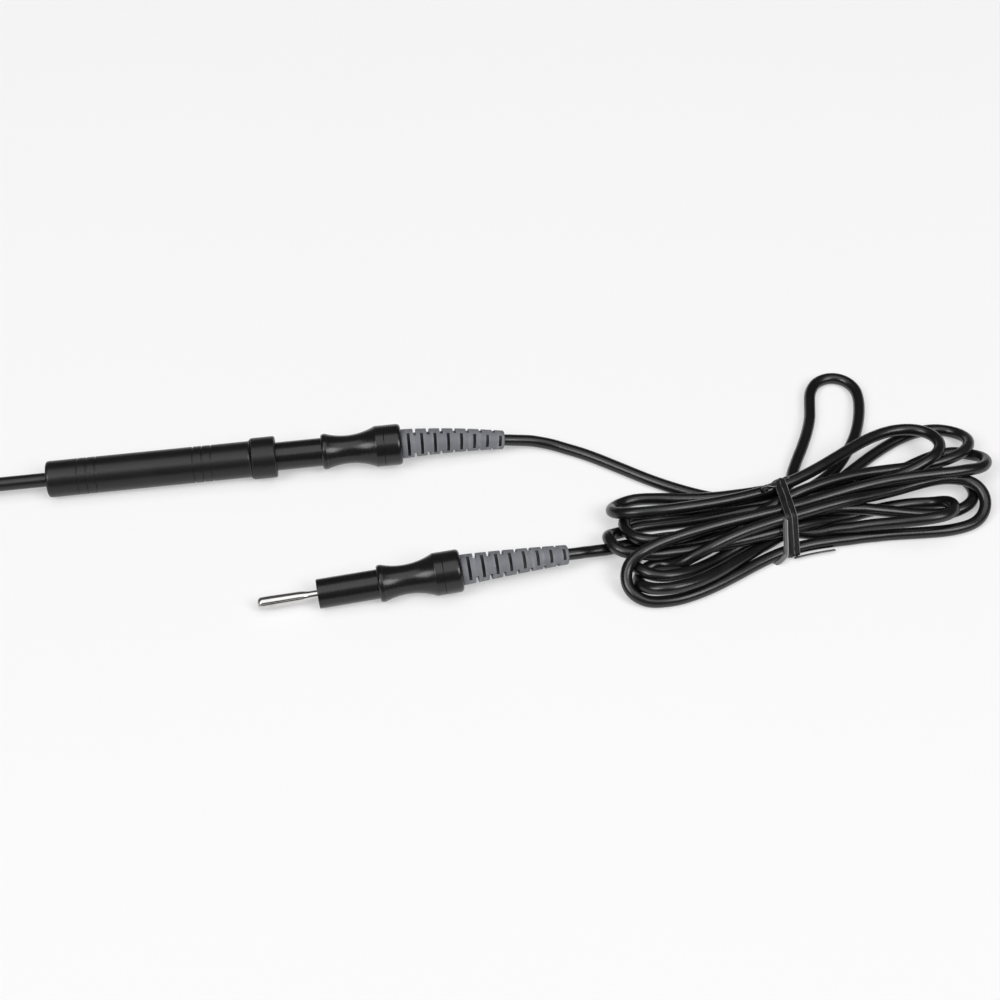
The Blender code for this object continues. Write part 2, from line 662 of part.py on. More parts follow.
plug_pin("handle_plug_pin", handle_plug, 0.0)
plug_crimp("handle_plug_crimp", handle_plug)
plug_body("handle_plug_body", handle_plug)
plug_boot("handle_plug_boot", handle_plug, HANDLE_BOOT_ROLL, HANDLE_BOOT_DROOP, HANDLE_BOOT_ASIDE)

plug_pin("generator_plug_pin", generator_plug, PIN_SPREAD)
plug_crimp("generator_plug_crimp", generator_plug)
plug_body("generator_plug_body", generator_plug)
plug_boot("generator_plug_boot", generator_plug, GENERATOR_BOOT_ROLL, GENERATOR_BOOT_DROOP, GENERATOR_BOOT_ASIDE)


def cable_start(frame, droop, aside):
    """Two points on the boot's own line, inside its mouth and at it, in the row's frame."""
    mouth, direction = boot_end(droop, aside)
    inside = frame.matrix_world @ (mouth - CABLE_IN_BOOT * direction)
    outside = frame.matrix_world @ mouth
    ahead = frame.matrix_world @ (mouth + 5.0 * MM * direction)
    return [inside, outside, ahead]


def on_table(points):
    return [Vector((x * MM, y * MM, z * MM + CABLE_LIES_AT)) for x, y, z in points]


# The cable's stretches that aren't gathered, in millimetres. Heights are above the cable lying on the table.
LEAD_FROM_HANDLE = [
    (297.4, -0.2, 1.5), (301.0, -0.8, 0.9), (305.3, -2.1, 0.4), (310.1, -4.4, 0.1), (315.5, -7.3, 0.0),
    (320.9, -10.8, 0.0), (328.7, -16.4, 0.0), (336.5, -22.0, 0.0), (343.4, -26.4, 0.0), (349.1, -29.6, 0.0),
]
LEAD_TO_GENERATOR = [(311.0, -54.9, 3.2), (314.6, -53.5, 2.0)]
STRAY_LOOP = [
    (387.4, -30.8, 0.0), (389.2, -26.0, 0.0), (392.0, -20.4, 0.0), (395.6, -13.8, 0.0), (398.8, -7.2, 0.0),
    (401.4, -0.4, 0.0), (402.8, 5.8, 0.0), (404.4, 11.9, 0.0), (407.7, 16.5, 0.0), (413.0, 18.4, 0.0),
    (418.2, 16.6, 0.0), (421.2, 12.0, 0.0), (421.4, 6.4, 0.0), (420.2, 0.4, 0.0), (418.3, -5.4, 0.0),
    (416.0, -10.6, 0.0), (413.6, -14.8, 0.0), (411.0, -18.6, 0.0),
]

lead_a = cable_start(handle_plug, HANDLE_BOOT_DROOP, HANDLE_BOOT_ASIDE) + on_table(LEAD_FROM_HANDLE)
tube_curve("cable_lead_handle", smooth_route(lead_a, 8.0 * MM), CABLE_RADIUS, BLACK_CABLE)
lead_b = cable_start(generator_plug, GENERATOR_BOOT_DROOP, GENERATOR_BOOT_ASIDE) + on_table(LEAD_TO_GENERATOR)
tube_curve("cable_lead_generator", smooth_route(lead_b, 4.0 * MM), CABLE_RADIUS, BLACK_CABLE)
tube_curve("cable_stray_loop", smooth_route(on_table(STRAY_LOOP), 6.0 * MM), CABLE_RADIUS, BLACK_CABLE)


# The hank: two fans of turns, each an outline with round ends, joined by the neck that the tie gathers.
TIE_FORWARD = Vector((cos(TIE_ANGLE), sin(TIE_ANGLE)))
TIE_ACROSS = Vector((-sin(TIE_ANGLE), cos(TIE_ANGLE)))
SHOULDER = TIE_WIDTH / 2 + GAP
HANK_ROUNDING = 3.2 * MM
NECK_LENGTH = TIE_WIDTH + 8.0 * MM


def shoulder_point(forward, across):
    return TIE_PLACE + forward * SHOULDER * TIE_FORWARD + across * (NECK_HALF_WIDTH + 0.8 * MM) * TIE_ACROSS


LEFT_FAN = [
    (366.0, -35.6), (350.0, -35.6), (332.0, -36.6), (320.5, -39.6), (316.4, -48.0), (315.8, -59.0),
    (319.0, -69.5), (329.0, -76.4), (343.0, -76.6), (358.0, -71.5), (371.0, -64.6),
]
RIGHT_FAN = [
    (395.0, -59.0), (410.0, -59.2), (430.0, -60.4), (447.0, -55.0), (457.0, -43.0), (460.0, -30.5),
    (456.0, -20.6), (445.5, -15.6), (432.0, -14.4), (413.0, -21.0), (396.0, -29.6),
]


def fan(name, corners, first, last):
    """One fan of turns as a flat outline with rounded edges, closed at the tie."""
    curve = bpy.data.curves.new(name, "CURVE")
    curve.dimensions = "2D"
    curve.fill_mode = "BOTH"
    curve.extrude = HANK_HEIGHT / 2
    curve.resolution_u = 2
    line = curve.splines.new("BEZIER")
    line.use_cyclic_u = True
    points = [first, *[Vector((x * MM, y * MM)) for x, y in corners], last]
    line.bezier_points.add(len(points) - 1)
    for spot, point in zip(line.bezier_points, points):
        spot.co = (point.x, point.y, 0.0)
        spot.handle_left_type = "AUTO"
        spot.handle_right_type = "AUTO"
    for spot in (line.bezier_points[0], line.bezier_points[-1]):
        spot.handle_left_type = "VECTOR"
        spot.handle_right_type = "VECTOR"
    return curve


def cable_hank():
    left_curve = fan("left_fan", LEFT_FAN, shoulder_point(-1, 1), shoulder_point(-1, -1))
    right_curve = fan("right_fan", RIGHT_FAN, shoulder_point(1, -1), shoulder_point(1, 1))
    pieces = []
    for curve in (left_curve, right_curve):
        piece = as_mesh(add_object(curve.name, curve))
        piece.location.z = HANK_HEIGHT / 2
        rounding = piece.modifiers.new("Rounding", "BEVEL")
        rounding.width = HANK_ROUNDING
        rounding.segments = 2
        rounding.limit_method = "ANGLE"
        rounding.angle_limit = radians(60.0)
        pieces.append(piece)
    neck = as_mesh(stadium("hank_neck", [0.0], NECK_LENGTH))
    hank = pieces[0]
    boolean(hank, pieces[1], "UNION")
    boolean(hank, neck, "UNION")
    mesh = welded_mesh_of(hank, "cable_hank")
    mesh.transform(hank.matrix_world)
    bpy.data.objects.remove(hank, do_unlink=True)
    return add_object("cable_hank", mesh, BLACK_CABLE)


def stadium(name, growths, width):
    """Outlines with round ends around the neck, grown by each value, standing across the bundle."""
    curve = bpy.data.curves.new(name, "CURVE")
    curve.dimensions = "2D"
    curve.fill_mode = "BOTH"
    curve.extrude = width / 2
    half = NECK_HALF_WIDTH - NECK_RADIUS
    for growth in growths:
        radius = NECK_RADIUS + growth
        outline = []
        for side in (1, -1):
            for step in range(9):
                angle = -pi / 2 + pi * step / 8
                outline.append((side * (half + radius * cos(angle)), side * radius * sin(angle)))
        line = curve.splines.new("POLY")
        line.use_cyclic_u = True
        line.points.add(len(outline) - 1)
        for spot, (across, height) in zip(line.points, outline):
            spot.co = (across, height, 0.0, 1.0)
    made = add_object(name, curve)
    middle = NECK_RADIUS + GAP + TIE_RIBBON + 0.05 * MM
    stand = Matrix.Rotation(TIE_ANGLE + pi / 2, 4, "Z") @ Matrix.Rotation(pi / 2, 4, "X")
    made.matrix_world = Matrix.Translation((*TIE_PLACE, middle)) @ stand
    return made


cable_hank()


# The tie: two turns of ribbon, drawn as one band, with its twisted ends.
TIE_TAIL_RADIUS = 0.7 * MM
TIE_TAIL_STEP = 2.5 * MM
TIE_TAILS = (
    ((384.1, -60.7, 4.2), (382.2, -62.6, 2.3), (378.5, -65.0, 1.1), (374.6, -66.6, 0.9)),
    ((385.3, -59.7, 3.4), (388.5, -61.6, 1.6), (393.0, -62.2, 0.9), (397.5, -61.2, 0.9)),
    ((379.4, -36.6, 9.6), (377.0, -34.2, 10.0), (374.0, -33.0, 9.6), (371.6, -32.4, 9.2)),
)


def twist_tie():
    band = as_mesh(stadium("twist_tie_band", [GAP, GAP + TIE_RIBBON], TIE_WIDTH))
    for index, tail in enumerate(TIE_TAILS):
        points = [Vector(point) * MM for point in tail]
        route = smooth_route(points, TIE_TAIL_STEP)
        wire = as_mesh(tube_curve(f"twist_tie_tail_{index + 1}", route, TIE_TAIL_RADIUS))
        boolean(band, wire, "UNION")
    mesh = welded_mesh_of(band, "twist_tie")
    mesh.transform(band.matrix_world)
    bpy.data.objects.remove(band, do_unlink=True)
    return add_object("twist_tie", mesh, BLACK_SATIN)


twist_tie()
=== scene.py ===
# Laparoscopic hook electrode with its plug-in cable: the visible pieces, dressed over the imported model.
# Metres, +Z up. The instrument lies along X with its hook at -X, and its cable lies tied in a hank beyond it.

from math import asin, cos, pi, radians, sin, sqrt

import bmesh
import bpy
import numpy as np
from mathutils import Matrix, Vector


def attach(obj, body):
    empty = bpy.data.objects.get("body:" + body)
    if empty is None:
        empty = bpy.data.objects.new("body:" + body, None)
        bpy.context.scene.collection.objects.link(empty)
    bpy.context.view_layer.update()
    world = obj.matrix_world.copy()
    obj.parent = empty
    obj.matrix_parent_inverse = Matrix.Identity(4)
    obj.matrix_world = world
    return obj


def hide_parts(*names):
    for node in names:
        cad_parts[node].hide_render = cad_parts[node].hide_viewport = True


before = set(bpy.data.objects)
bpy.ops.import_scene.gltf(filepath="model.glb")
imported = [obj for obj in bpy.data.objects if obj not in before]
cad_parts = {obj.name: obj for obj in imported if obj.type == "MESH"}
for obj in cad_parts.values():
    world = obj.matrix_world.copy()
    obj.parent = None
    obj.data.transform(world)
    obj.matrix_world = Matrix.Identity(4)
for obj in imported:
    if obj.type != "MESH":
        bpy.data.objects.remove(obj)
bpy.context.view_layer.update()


# The table is a plain white sheet. Two soft lamps stand in front to the left and right, and a large dim one
# hangs overhead, as in a product picture. The camera looks down on the table at 50 degrees.
TABLE_SIZE = 6.0
TABLE_WHITE = (0.955, 0.952, 0.956, 1.0)
TABLE_SHADE = (0.94, 0.938, 0.943, 1.0)
TABLE_GLOW = 0.4
CAMERA_TARGET = Vector((0.28353, -0.02375, 0.0))
CAMERA_DISTANCE = 0.696
CAMERA_ELEVATION = radians(50.0)
CAMERA_TURN = radians(7.05)
CAMERA_LENS = 70.2
ROOM_GREY = (0.09, 0.09, 0.0925, 1.0)
# Each lamp: name, azimuth from the camera's side, elevation, distance, side of its square and brightness.
LAMPS = (
    ("left_soft_light", -50.0, 47.0, 3.6, 1.65, 6.2),
    ("right_soft_light", 50.0, 47.0, 3.6, 1.65, 6.2),
    ("overhead_soft_light", 0.0, 82.0, 3.6, 3.6, 1.45),
)


def node(tree, kind, inputs=None, **settings):
    """Adds a shader node. An input is either a value or the output socket that feeds it."""
    made = tree.nodes.new(kind)
    for name, value in settings.items():
        setattr(made, name, value)
    for name, value in (inputs or {}).items():
        if isinstance(value, bpy.types.NodeSocket):
            tree.links.new(value, made.inputs[name])
        else:
            made.inputs[name].default_value = value
    return made


def noise(tree, vector, scale, **values):
    """A noise over some coordinates."""
    return node(tree, "ShaderNodeTexNoise", {"Vector": vector, "Scale": scale, **values}).outputs["Fac"]


def combined(tree, operation, first, second):
    """One value from two."""
    return node(tree, "ShaderNodeMath", {0: first, 1: second}, operation=operation).outputs[0]


def blended(tree, mask, first, second):
    """A colour between two, by a mask."""
    mix = node(tree, "ShaderNodeMix", data_type="RGBA")
    tree.links.new(mask, mix.inputs[0])
    for socket, value in ((6, first), (7, second)):
        if isinstance(value, bpy.types.NodeSocket):
            tree.links.new(value, mix.inputs[socket])
        else:
            mix.inputs[socket].default_value = (*value[:3], 1.0)
    return mix.outputs[2]


def new_material(name, **fixed):
    """A material, its node tree and its shader, with what is the same all over set on the shader."""
    made = bpy.data.materials.new(name)
    made.use_nodes = True
    shader = made.node_tree.nodes["Principled BSDF"]
    for socket, value in fixed.items():
        shader.inputs[socket.replace("_", " ")].default_value = value
    return made, made.node_tree, shader


def put_in_scene(name, data, place=None):
    """A new object with this data, in the scene and at its place."""
    made = bpy.data.objects.new(name, data)
    bpy.context.scene.collection.objects.link(made)
    if place is not None:
        made.matrix_world = place
    return made


def looking(ahead, spot):
    """The place of a camera or lamp that looks along a direction from a spot."""
    right = ahead.cross(Vector((0.0, 0.0, 1.0))).normalized()
    lie = Matrix((right, right.cross(ahead), -ahead)).transposed()
    return Matrix.Translation(spot) @ lie.to_4x4()


table_white, tree, shader = new_material("table_white", Roughness=0.85)
where = node(tree, "ShaderNodeTexCoord").outputs["Object"]
cloud = noise(tree, where, 5.0, Detail=2.0)
tree.links.new(blended(tree, cloud, TABLE_SHADE, TABLE_WHITE), shader.inputs["Base Color"])
# What looks at the table sees part of it as plain white, which keeps the object's shadow soft and light.
ray = node(tree, "ShaderNodeLightPath").outputs
looks = combined(tree, "MAXIMUM", ray["Is Camera Ray"], ray["Is Glossy Ray"])
looks = combined(tree, "MAXIMUM", looks, ray["Is Transmission Ray"])
share = combined(tree, "MULTIPLY", looks, TABLE_GLOW)
glow = node(tree, "ShaderNodeEmission", {"Color": TABLE_WHITE, "Strength": 1.0}).outputs["Emission"]
mix = node(tree, "ShaderNodeMixShader", {0: share, 1: shader.outputs["BSDF"], 2: glow})
tree.links.new(mix.outputs["Shader"], tree.nodes["Material Output"].inputs["Surface"])

bpy.ops.mesh.primitive_plane_add(size=TABLE_SIZE, location=(CAMERA_TARGET.x, CAMERA_TARGET.y, 0.0))
table = bpy.context.object
table.name = "table"
table.data.materials.append(table_white)

world = bpy.data.worlds.new("studio")
bpy.context.scene.world = world
world.use_nodes = True
world.node_tree.nodes["Background"].inputs["Color"].default_value = ROOM_GREY

camera_side = Vector((-sin(CAMERA_TURN), -cos(CAMERA_TURN), 0.0))
for name, azimuth, elevation, distance, side, brightness in LAMPS:
    flat = Matrix.Rotation(radians(azimuth), 3, "Z") @ camera_side
    towards = flat * cos(radians(elevation)) + Vector((0, 0, sin(radians(elevation))))
    data = bpy.data.lights.new(name, "AREA")
    data.size = side
    data.energy = brightness * pi * side * side
    put_in_scene(name, data, looking(-towards, CAMERA_TARGET + distance * towards))

ahead = (-camera_side * cos(CAMERA_ELEVATION) - Vector((0, 0, sin(CAMERA_ELEVATION)))).normalized()
camera_data = bpy.data.cameras.new("camera")
camera_data.lens = CAMERA_LENS
camera_data.clip_start = 0.01
camera = put_in_scene("camera", camera_data, looking(ahead, CAMERA_TARGET - CAMERA_DISTANCE * ahead))
bpy.context.scene.camera = camera
bpy.context.scene.view_settings.view_transform = "Standard"


# The cable: a limp 4.2 mm high-frequency cable with a smooth black sheath, about 2.1 m from plug to plug.
# It comes out of the handle plug's boot, is folded into fourteen runs that a tie gathers, and ends in the
# generator plug's boot. One smooth line is laid from fold to fold and then settled on itself and the table.
MM = 0.001
CABLE_DIAMETER = 4.2
CABLE_LIES_AT = 2.15
CRIMP_REAR = 38.3
ROUTE_STEP = 2.1
LEAST_BEND = 9.0
PLUG_LENGTH = 49.5
BOOT_LENGTH = 37.0
INSTRUMENT_PITCH = asin(4.95 / 389.5)
INSTRUMENT_AXIS = (
    Matrix.Translation((205.63339 * MM, 0.0, 7.56184 * MM)) @ Matrix.Rotation(-INSTRUMENT_PITCH, 4, "Y")
)
HANDLE_PLUG = INSTRUMENT_AXIS @ Matrix.Translation((-4.4 * MM, 0.0, 0.0))
GENERATOR_PITCH = asin(0.98 / 18.4)
GENERATOR_PLUG = (
    Matrix.Translation((216.45 * MM, -61.9 * MM, 5.2325 * MM))
    @ Matrix.Rotation(radians(2.57), 4, "Z")
    @ Matrix.Rotation(-GENERATOR_PITCH, 4, "Y")
)
# How far each boot's mouth is bent from its plug's axis, and how far that bend is turned aside from straight down.
HANDLE_BOOT_BEND = (3.4, 0.0)
GENERATOR_BOOT_BEND = (3.3, radians(25.0))
LEAD_FROM_HANDLE = (
    (297.4, -0.2, 1.5), (301.0, -0.8, 0.9), (305.3, -2.1, 0.4), (310.1, -4.4, 0.1), (315.5, -7.3, 0.0),
    (320.9, -10.8, 0.0), (328.7, -16.4, 0.0), (336.5, -22.0, 0.0), (343.4, -26.4, 0.0), (349.1, -29.6, 0.0),
)
LEAD_TO_GENERATOR = ((311.0, -54.9, 3.2), (314.6, -53.5, 2.0))
STRAY_LOOP = (
    (387.4, -30.8, 0.0), (389.2, -26.0, 0.0), (392.0, -20.4, 0.0), (395.6, -13.8, 0.0), (398.8, -7.2, 0.0),
    (401.4, -0.4, 0.0), (402.8, 5.8, 0.0), (404.4, 11.9, 0.0), (407.7, 16.5, 0.0), (413.0, 18.4, 0.0),
    (418.2, 16.6, 0.0), (421.2, 12.0, 0.0), (421.4, 6.4, 0.0), (420.2, 0.4, 0.0), (418.3, -5.4, 0.0),
    (416.0, -10.6, 0.0), (413.6, -14.8, 0.0), (411.0, -18.6, 0.0),
)
TIE_PLACE = np.array([381.8, -48.6])
TIE_ANGLE = radians(11.0)
TIE_FORWARD = np.array([cos(TIE_ANGLE), sin(TIE_ANGLE), 0.0])
TIE_ACROSS = np.array([-sin(TIE_ANGLE), cos(TIE_ANGLE), 0.0])
# The runs' places in the tie, in three layers: distance across it and layer.
LAYERS = (2.2, 6.2, 10.2)
PLACES = {
    "a": (9.25, 0), "b": (5.05, 0), "c": (0.85, 0), "d": (-3.35, 0), "e": (-7.55, 0),
    "f": (11.35, 1), "g": (7.15, 1), "h": (2.95, 1), "i": (-1.25, 1), "j": (-5.45, 1),
    "k": (9.25, 2), "l": (5.05, 2), "m": (0.85, 2), "n": (-3.35, 2),
}
# Each fold: the runs that it joins, its centre, its radius, its heading and lean, the side on which it comes
# in, and the points that its two runs pass on the way in and on the way out.
FOLDS = (
    ("f", "k", (329.6, -38.6, 7.3), 8.4, 183, 40, -1,
     ((358.0, -37.5, 3.4), (342.0, -34.4, 2.3)), ((345.0, -43.4, 12.0), (362.0, -42.6, 11.8))),
    ("k", "g", (433.4, -24.6, 10.4), 8.5, 8, 10, 1,
     ((395.1, -33.1, 11.5), (406.2, -26.8, 11.0), (418.0, -19.8, 10.0)),
     ((428.0, -34.6, 10.4), (417.0, -38.2, 6.6), (402.0, -41.0, 5.8))),
    ("g", "b", (333.4, -47.4, 6.0), 8.4, 185, 26, -1,
     ((365.0, -43.0, 6.2), (350.0, -41.6, 4.4)), ((346.0, -53.4, 7.0), (362.0, -50.5, 4.6))),
    ("b", "l", (446.0, -20.6, 5.0), 8.4, 12, 20, 1,
     ((400.0, -34.0, 2.4), (418.2, -22.0, 2.3)),
     ((436.0, -30.2, 6.2), (425.6, -34.0, 6.8), (411.4, -36.2, 10.2), (396.8, -39.8, 11.6))),
    ("l", "i", (335.4, -61.6, 4.8), 8.6, 200, 16, -1,
     ((368.0, -48.6, 8.0), (354.0, -53.5, 5.0)), ((352.0, -61.6, 2.3),)),
    ("i", "h", (442.6, -41.8, 3.4), 8.4, 4, 8, -1,
     ((410.0, -46.8, 2.6), (426.0, -47.4, 2.3)), ((428.0, -35.4, 2.4), (410.0, -41.0, 3.0))),
    ("h", "j", (326.6, -52.6, 5.0), 8.4, 187, 22, -1,
     ((352.0, -46.6, 2.3),), ((340.0, -59.2, 5.6), (352.0, -59.4, 5.6), (364.0, -58.4, 6.0))),
    ("j", "d", (431.6, -52.8, 7.2), 8.4, 2, 38, 1,
     ((404.0, -49.8, 3.4), (418.0, -49.0, 2.4)), ((418.0, -56.0, 9.0), (400.0, -54.4, 6.4))),
    ("d", "n", (333.8, -68.2, 6.4), 8.4, 201, 18, 1,
     ((366.0, -63.4, 6.2), (350.0, -70.0, 5.0)),
     ((345.0, -61.0, 9.4), (358.0, -56.8, 10.8), (368.0, -54.8, 11.2))),
    ("n", "e", (444.4, -48.6, 5.4), 8.7, 2, -22, 1,
     ((400.0, -48.2, 9.6), (423.4, -43.0, 8.6)),
     ((429.6, -57.3, 2.15), (412.2, -55.4, 2.15), (398.0, -54.2, 2.15))),
    ("e", "m", (331.8, -67.8, 5.6), 9.2, 205, -22, 1,
     ((372.0, -62.2, 2.15), (357.0, -70.8, 2.15), (345.0, -75.0, 2.15)),
     ((340.5, -59.0, 10.6), (354.0, -54.2, 12.0), (367.3, -50.6, 11.8))),
    ("m", "c", (449.2, -31.4, 6.2), 8.4, 10, 30, -1,
     ((400.0, -44.4, 10.4), (424.1, -40.4, 9.8), (440.0, -37.6, 9.8)),
     ((436.0, -28.4, 2.4), (410.0, -40.0, 2.3))),
)


def boot_start(plug, bend):
    """The cable's first points: from the crimp through the body and the boot, to the mouth and ahead of it."""
    droop, aside = bend
    plug = plug @ Matrix.Rotation(aside, 4, "X")
    angle = 2 * droop / BOOT_LENGTH
    arc = BOOT_LENGTH / angle
    points = [Vector((CRIMP_REAR, 0.0, 0.0)), Vector((PLUG_LENGTH - 4.0, 0.0, 0.0))]
    for step in range(1, 5):
        turn = angle * step / 4
        points.append(Vector((PLUG_LENGTH + arc * sin(turn), 0.0, arc * cos(turn) - arc)))
    points.append(points[-1] + 5.0 * Vector((cos(angle), 0.0, -sin(angle))))
    return [np.array(plug @ (point * MM)) / MM for point in points]


def lifted(points):
    """Points given above the resting cable's middle, from the table up."""
    return [np.array((x, y, z + CABLE_LIES_AT)) for x, y, z in points]


def unit(way):
    return way / np.linalg.norm(way)


def through(points, count=12):
    """A smooth line through every point."""
    ends = [2 * points[0] - points[1], *points, 2 * points[-1] - points[-2]]
    line = []
    for before, start, end, after in zip(ends, ends[1:], ends[2:], ends[3:]):
        for t in np.arange(count) / count:
            line.append(0.5 * (
                2 * start
                + (end - before) * t
                + (2 * before - 5 * start + 4 * end - after) * t * t
                + (3 * start - before - 3 * end + after) * t ** 3
            ))
    return np.array(line + [points[-1]])


def eased_way(start, leaving, end, arriving, count=16, reach=0.35):
    """A smooth line from one point to another, with its direction given at both."""
    pull = reach * np.linalg.norm(end - start)
    t = np.linspace(0.0, 1.0, count)[:, None]
    first, second = start + leaving * pull, end - arriving * pull
    return (1 - t) ** 3 * start + 3 * (1 - t) ** 2 * t * first + 3 * (1 - t) * t * t * second + t ** 3 * end


def run_of(start, leaving, passing, end, arriving):
    """One run between the tie and a fold, past the points on its way."""
    points = [start, *[np.array(point, float) for point in passing], end]
    ways = [leaving, *[unit(after - before) for before, after in zip(points, points[2:])], arriving]
    parts = [eased_way(*leg)[:-1] for leg in zip(points, ways, points[1:], ways[1:])]
    return np.vstack([*parts, points[-1][None, :]])


def fold_of(centre, radius, heading, lean, side, count=15):
    """The points of a fold's half circle, from the side on which the cable comes in, and its heading."""
    heading, lean = radians(heading), radians(lean)
    out = np.array([cos(heading), sin(heading), 0.0])
    left = np.array([-sin(heading), cos(heading)])
    across = np.array([*(left * cos(lean)), -sin(lean) * np.sign(left[1])])
    turn = np.linspace(side * pi / 2, -side * pi / 2, count)[:, None]
    return np.array(centre) + radius * (np.cos(turn) * out + np.sin(turn) * across), out


def in_tie(place):
    """Where a run passes through the tie."""
    across, layer = PLACES[place]
    point = across * TIE_ACROSS + np.array([*TIE_PLACE, 0.0])
    point[2] = LAYERS[layer]
    return point


def evenly(line, step):
    """The line again, at an even spacing."""
    walked = np.concatenate([[0.0], np.cumsum(np.linalg.norm(np.diff(line, axis=0), axis=1))])
    marks = np.linspace(0.0, walked[-1], round(walked[-1] / step) + 1)
    return np.column_stack([np.interp(marks, walked, line[:, axis]) for axis in range(3)])


def laid_route():
    """The cable's whole line before it settles, and where on it the two leads end and start."""
    lead_in = through(boot_start(HANDLE_PLUG, HANDLE_BOOT_BEND) + lifted(LEAD_FROM_HANDLE))
    lead_out = through(boot_start(GENERATOR_PLUG, GENERATOR_BOOT_BEND) + lifted(LEAD_TO_GENERATOR))[::-1]
    loop = through(lifted(STRAY_LOOP[::-1]))
    parts = [lead_in]
    parts.append(eased_way(lead_in[-1], unit(lead_in[-1] - lead_in[-2]), in_tie("a"), TIE_FORWARD)[1:])
    parts.append(eased_way(in_tie("a"), TIE_FORWARD, loop[0], unit(loop[1] - loop[0]), 24)[1:-1])
    parts.append(loop)
    parts.append(eased_way(loop[-1], unit(loop[-1] - loop[-2]), in_tie("f"), -TIE_FORWARD, 24)[1:])
    for coming, going, centre, radius, heading, lean, side, way_in, way_out in FOLDS:
        onward = TIE_FORWARD if centre[0] > TIE_PLACE[0] else -TIE_FORWARD
        arc, out = fold_of(centre, radius, heading, lean, side)
        parts.append(run_of(in_tie(coming), onward, way_in, arc[0], out)[1:-1])
        parts.append(arc)
        parts.append(run_of(arc[-1], -out, way_out, in_tie(going), -onward)[1:])
    parts.append(eased_way(in_tie("c"), -TIE_FORWARD, lead_out[0], unit(lead_out[1] - lead_out[0]))[1:-1])
    parts.append(lead_out)
    return evenly(np.vstack(parts), ROUTE_STEP), len(evenly(lead_in, ROUTE_STEP)), len(evenly(lead_out, ROUTE_STEP))


# How the line settles: its rounds, how many of the last mostly part what overlaps, how far a point sinks in one,
# how strongly it is smoothed, and how many rounds its list of close neighbours lasts.
SETTLING_ROUNDS = 460
PARTING_ROUNDS = 60
SINKING = 0.02
SMOOTHING = 0.3
NEIGHBOURS_LAST = 10
# How far apart touching turns are set and how strongly, and how near the neighbours are that are watched.
TOUCHING_GAP = 0.02
PARTING_STRENGTH = 1.5
NEIGHBOURS_WITHIN = 1.5
# Over how many points a bend is measured on each side, how much of eight steps a run spans where it counts as
# straight, and how much a step has of its old and of its new length after a round.
BEND_REACH = 3
STRAIGHT_SPAN = 7.75
OLD_LENGTH, NEW_LENGTH = 0.8, 0.2
# How strongly it returns to its laid way, opens a tight bend and fairs a straight run, and how often in a round.
SETTLING = (0.06, 0.35, 0.2, 2)
PARTING = (0.024, 0.5, 0.15, 4)


